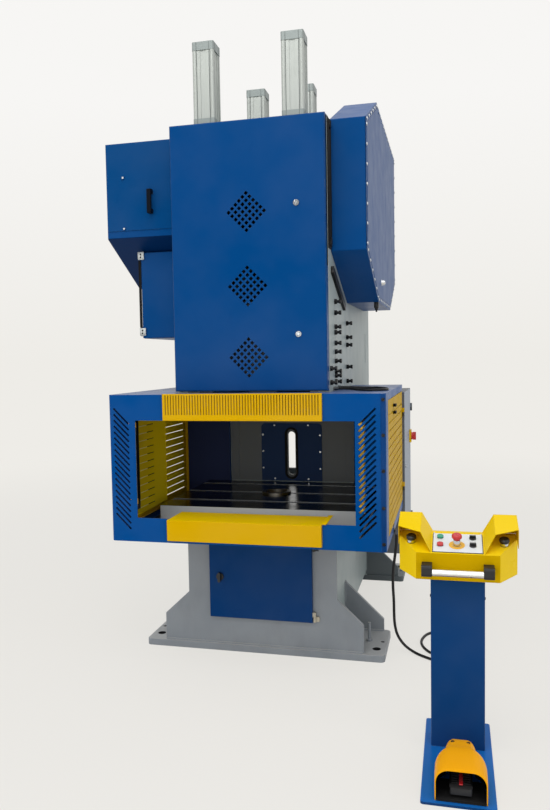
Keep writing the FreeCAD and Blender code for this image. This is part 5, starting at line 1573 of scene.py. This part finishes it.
@dataclass
class StandTrim:
    """Small parts of the control stand: sign disc, screws, column bolts, and the pedal's plate and catch."""

    panel_screw: Screw = Screw(0.0032, 0.0016, Drive.BUTTON)
    panel_x: Pair = (1003.5, 1200.5)
    panel_depth: Pair = (-918.0, -777.0)
    disc: Turned = Turned(0.033, 0.0022, 40, ((0.0165, -0.00198),), 0.00044)
    disc_spot: Triple = (1099.0, -866.0, 1.2)
    bolt: Screw = Screw(0.0065, 0.004, Drive.BUTTON, 0.009)
    bolt_x: Pair = (989.0, 1215.0)
    bolt_spot: Pair = (-792.0, 655.0)
    plate: Strip = Strip((1019, 1205), (-1262, -1112), (10, 15), 2.0, UPWARD, (0.008, 0.002))
    catch: Strip = Strip((1105, 1119), (-1240, -1150), (69, 73), 1.2)

    def on_deck(self, x: float, depth: float, over: float) -> Matrix:
        """Finds a place over the sloping deck; all lengths are in millimetres.

        Args:
            x: the place across.
            depth: the place behind the front edge.
            over: its height over the deck.

        Returns:
            The matrix of a copy that stands there.
        """
        front, level = DECK_POINT[1:]
        foot = at(x, depth, level + DECK_RISE * (depth - front))
        return facing(foot + DECK_NORMAL * (over / 1000.0), DECK_NORMAL)

    def build(self) -> None:
        """Makes all of them."""
        scatter(self.disc.model(), [self.on_deck(*self.disc_spot)], "stop_sign_disc", SIGN_YELLOW)
        spots = [self.on_deck(x, depth, 2.0) for x in self.panel_x for depth in self.panel_depth]
        scatter(self.panel_screw.model(), spots, "panel_screws", ZINC)
        ways = (LEFTWARD, RIGHTWARD)
        spots = [facing(at(x, *self.bolt_spot), way) for x, way in zip(self.bolt_x, ways)]
        scatter(self.bolt.model(), spots, "stand_column_bolts", BLACKENED)
        Sheet("pedal_floor_plate", SEAL_RUBBER, (self.plate,)).build()
        catch = self.catch.model()
        pick(catch, lambda place, normal: normal.y > 0.5)
        extrude(0.0, 0.020, 0.030)
        extrude(0.0, 0.012, 0.004)
        hand_over(catch, "pedal_catch", RED_ABS, Body.PEDAL)


@dataclass
class Welds:
    """Welds of the gussets and of the column's wings."""

    depths: tuple[float, ...] = (385.0, 410.0, 1535.0, 1560.0)
    wing_depths: Pair = (19.0, 44.0)
    foot_top: float = 38.0
    upright: float = 0.285
    level: float = 0.225
    wing: float = 1.176

    def build(self) -> None:
        """Lays every bead."""
        spots = [(way, depth) for depth in self.depths for way in (LEFTWARD, RIGHTWARD)]
        upright = [Matrix.Translation(at(way.x * 436.0, depth, self.foot_top + 8)) for way, depth in spots]
        level = [facing(at(way.x * 442.0, depth, self.foot_top + 1), way) for way, depth in spots]
        wings = [facing(at(-588, depth, self.foot_top + 1), RIGHTWARD) for depth in self.wing_depths]
        bead = WeldBead()
        runs = ((self.upright, upright), (self.level, level), (self.wing, wings))
        hand_over(join([repeat(bead.model(length), places) for length, places in runs]), "frame_welds",
                  FRAME_GREY)


# ---------------------------------------------------------------- cords
def add_object(name: str, data: bpy.types.ID) -> Piece:
    """Puts a new object into the scene.

    Args:
        name: its name.
        data: what it shows.

    Returns:
        The object.
    """
    piece = bpy.data.objects.new(name, data)
    bpy.context.scene.collection.objects.link(piece)
    return piece


@dataclass(frozen=True)
class Line:
    """A free line of the machine: its route's points in millimetres, diameter and real length in metres."""

    node: str
    diameter: float
    length: float
    route: tuple[Triple, ...]

    def build(self) -> None:
        line = bpy.data.curves.new(self.node + "_line", "CURVE")
        line.dimensions = "3D"
        line.bevel_depth = self.diameter / 2.0
        line.bevel_resolution = 5
        line.resolution_u = 10
        line.use_fill_caps = True
        spline = line.splines.new("NURBS")
        spline.points.add(len(self.route) - 1)
        for point, place in zip(spline.points, self.route):
            point.co = (*at(*place), 1.0)
        spline.order_u = 3
        spline.use_endpoint_u = True
        piece = add_object(self.node + "_line", line)
        line.materials.append(CABLE_JACKET.material())
        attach(piece, Body.FRAME.value)
        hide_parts(self.node)
        tuple(at(*self.route[0]))
        LOG.info("%s: %.0f mm long", piece.name, self.length * 1000.0)


STAND_CABLE = Line("cable", 0.016, 2.857, (
    (770, 130, 700), (770, 130, 640), (757, 140, 555), (746, 152, 465), (745, 165, 380),
    (749, 178, 300), (748, 192, 220), (750, 203, 150), (765, 206, 84), (806, 196, 32),
    (866, 160, 8.3), (925, 108, 8.3), (992, 66, 8.3), (1062, 72, 8.3), (1112, 118, 8.3),
    (1136, 186, 8.3), (1140, 262, 8.3), (1128, 344, 8.3), (1110, 424, 8.3), (1083, 488, 8.3),
    (1030, 517, 8.3), (970, 509, 8.3), (927, 467, 8.3), (904, 404, 8.3), (894, 334, 8.3),
    (906, 262, 8.3), (938, 196, 8.3), (974, 138, 16), (1006, 92, 25.6), (1036, 34, 25.6),
    (1060, -34, 15), (1080, -112, 8.3), (1096, -196, 8.3), (1106, -288, 8.3), (1102, -380, 8.3),
    (1092, -466, 8.3), (1094, -545, 14), (1099, -614, 36), (1102, -672, 52), (1102, -727, 52)))
AIR_HOSE = Line("air_hose", 0.014, 0.772, (
    (463, 40, 1532), (512, 40, 1532), (566, 12, 1527.4), (594, -30, 1527.4), (624, -58, 1527.4),
    (672, -66, 1527.4), (715, -42, 1527.4), (736, 3, 1527.4), (734, 56, 1527.4), (722, 112, 1527.4),
    (700, 168, 1527.4), (658, 212, 1527.4), (604, 230, 1527.4), (548, 222, 1529), (502, 202, 1532),
    (463, 202, 1532)))


# ---------------------------------------------------------------- camera, floor and light
@dataclass
class Studio:
    """Camera where the photograph was taken from, pale floor and soft light."""

    place: Triple = (1.0908, -4.9878, 1.7000)
    yaw: float = 0.2392
    pitch: float = -0.0619
    roll: float = -0.0170
    lens: float = 32.79
    floor_colour: str = "#e9e7e3"
    horizon_colour: str = "#eeece7"
    sky_colour: str = "#f7f6f4"
    aim: Triple = (0.0, -0.4, 1.5)
    # for each soft box: its name, place, side in metres and power in watts
    boxes: tuple[tuple[str, Triple, float, float], ...] = (
        ("front_top_box", (0.0, -4.0, 6.4), 4.5, 115.0), ("left_box", (-4.8, -4.6, 3.2), 3.2, 28.0),
        ("right_box", (5.0, -3.6, 3.4), 3.0, 30.0), ("ceiling_box", (0.4, 0.2, 8.0), 6.0, 70.0),
        ("low_box", (0.4, -5.6, 1.5), 2.4, 26.0))

    def build(self) -> None:
        """Sets up camera, floor, sky and lamps."""
        self.set_camera()
        self.lay_floor()
        self.hang_sky()
        for box in self.boxes:
            self.hang_box(*box)

    def set_camera(self) -> None:
        """Adds the camera, turned by yaw, pitch and roll."""
        ahead = Vector((-math.sin(self.yaw) * math.cos(self.pitch),
                        math.cos(self.yaw) * math.cos(self.pitch), math.sin(self.pitch)))
        right = Vector((math.cos(self.yaw), math.sin(self.yaw), 0.0))
        up = right.cross(ahead)
        across = math.cos(self.roll) * right + math.sin(self.roll) * up
        over = -math.sin(self.roll) * right + math.cos(self.roll) * up
        eye = bpy.data.cameras.new("photo_camera")
        eye.lens = self.lens
        eye.sensor_width = 36.0
        eye.clip_end = 200.0
        camera = add_object("photo_camera", eye)
        turned = Matrix((across, over, -ahead)).transposed().to_4x4()
        camera.matrix_world = Matrix.Translation(Vector(self.place)) @ turned
        bpy.context.scene.camera = camera

    def lay_floor(self) -> None:
        """Lays the pale floor, which fades into the sky far behind the press."""
        clear_selection()
        bpy.ops.mesh.primitive_plane_add(size=120.0, location=(0.0, 0.0, -0.0005))
        floor = settle()
        floor.name = "studio_floor"
        made = bpy.data.materials.new("painted_studio_floor")
        graph = Graph(made)
        far = graph.add("VectorMath", {0: graph.place}, operation="LENGTH").outputs["Value"]
        fade = graph.add("MapRange", {0: far, 1: 2.0, 2: 9.0, 3: 0.76}, interpolation_type="SMOOTHSTEP")
        graph.show_both(graph.math("MULTIPLY", fade.outputs[0], graph.seen()),
                        graph.add("BsdfDiffuse", {"Color": linear(self.floor_colour)}),
                        graph.add("Emission", {"Color": linear(self.horizon_colour), "Strength": 1.0}),
                        "OutputMaterial")
        floor.data.materials.append(made)

    def hang_sky(self) -> None:
        """Gives the world an even pale light, and the photograph's background where it is seen."""
        world = bpy.data.worlds.new("studio")
        bpy.context.scene.world = world
        graph = Graph(world, "Generated")
        height = graph.add("SeparateXYZ", {0: graph.place}).outputs[2]
        shade = graph.tint(graph.spread(height, (0.0, 0.32)), self.horizon_colour, self.sky_colour)
        graph.show_both(graph.seen(),
                        graph.add("Background", {"Color": (0.97, 0.98, 1.0, 1.0), "Strength": 0.60}),
                        graph.add("Background", {"Color": shade, "Strength": 1.0}), "OutputWorld")

    def hang_box(self, name: str, place: Triple, size: float, power: float) -> None:
        """Hangs one square lamp that looks at the middle of the press.

        Args:
            name: the lamp's name.
            place: its place, in metres.
            size: its side, in metres.
            power: its power, in watts.
        """
        lamp = bpy.data.lights.new(name, "AREA")
        lamp.energy = power
        lamp.size = size
        spot = Vector(place)
        turned = (Vector(self.aim) - spot).to_track_quat("-Z", "Y").to_matrix().to_4x4()
        add_object(name, lamp).matrix_world = Matrix.Translation(spot) @ turned


def main() -> None:
    """Builds camera, cords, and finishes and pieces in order."""
    logging.basicConfig(level=logging.INFO, format="%(name)s %(message)s")
    bpy.context.scene.view_settings.view_transform = "Standard"
    Studio().build()
    STAND_CABLE.build()
    AIR_HOSE.build()
    dress_nodes()
    for group in (DriveCoverTrim(), DoorGapSealAndShade(), CylinderTrim(), SmallDoorTrim(), ThroatTrim(), TableTrim(),
                  GuardTrim(), AnchorHoleShade(), FootSwitchHood(), StandTrim(), Welds()):
        group.build()


if __name__ == "__main__":
    main()
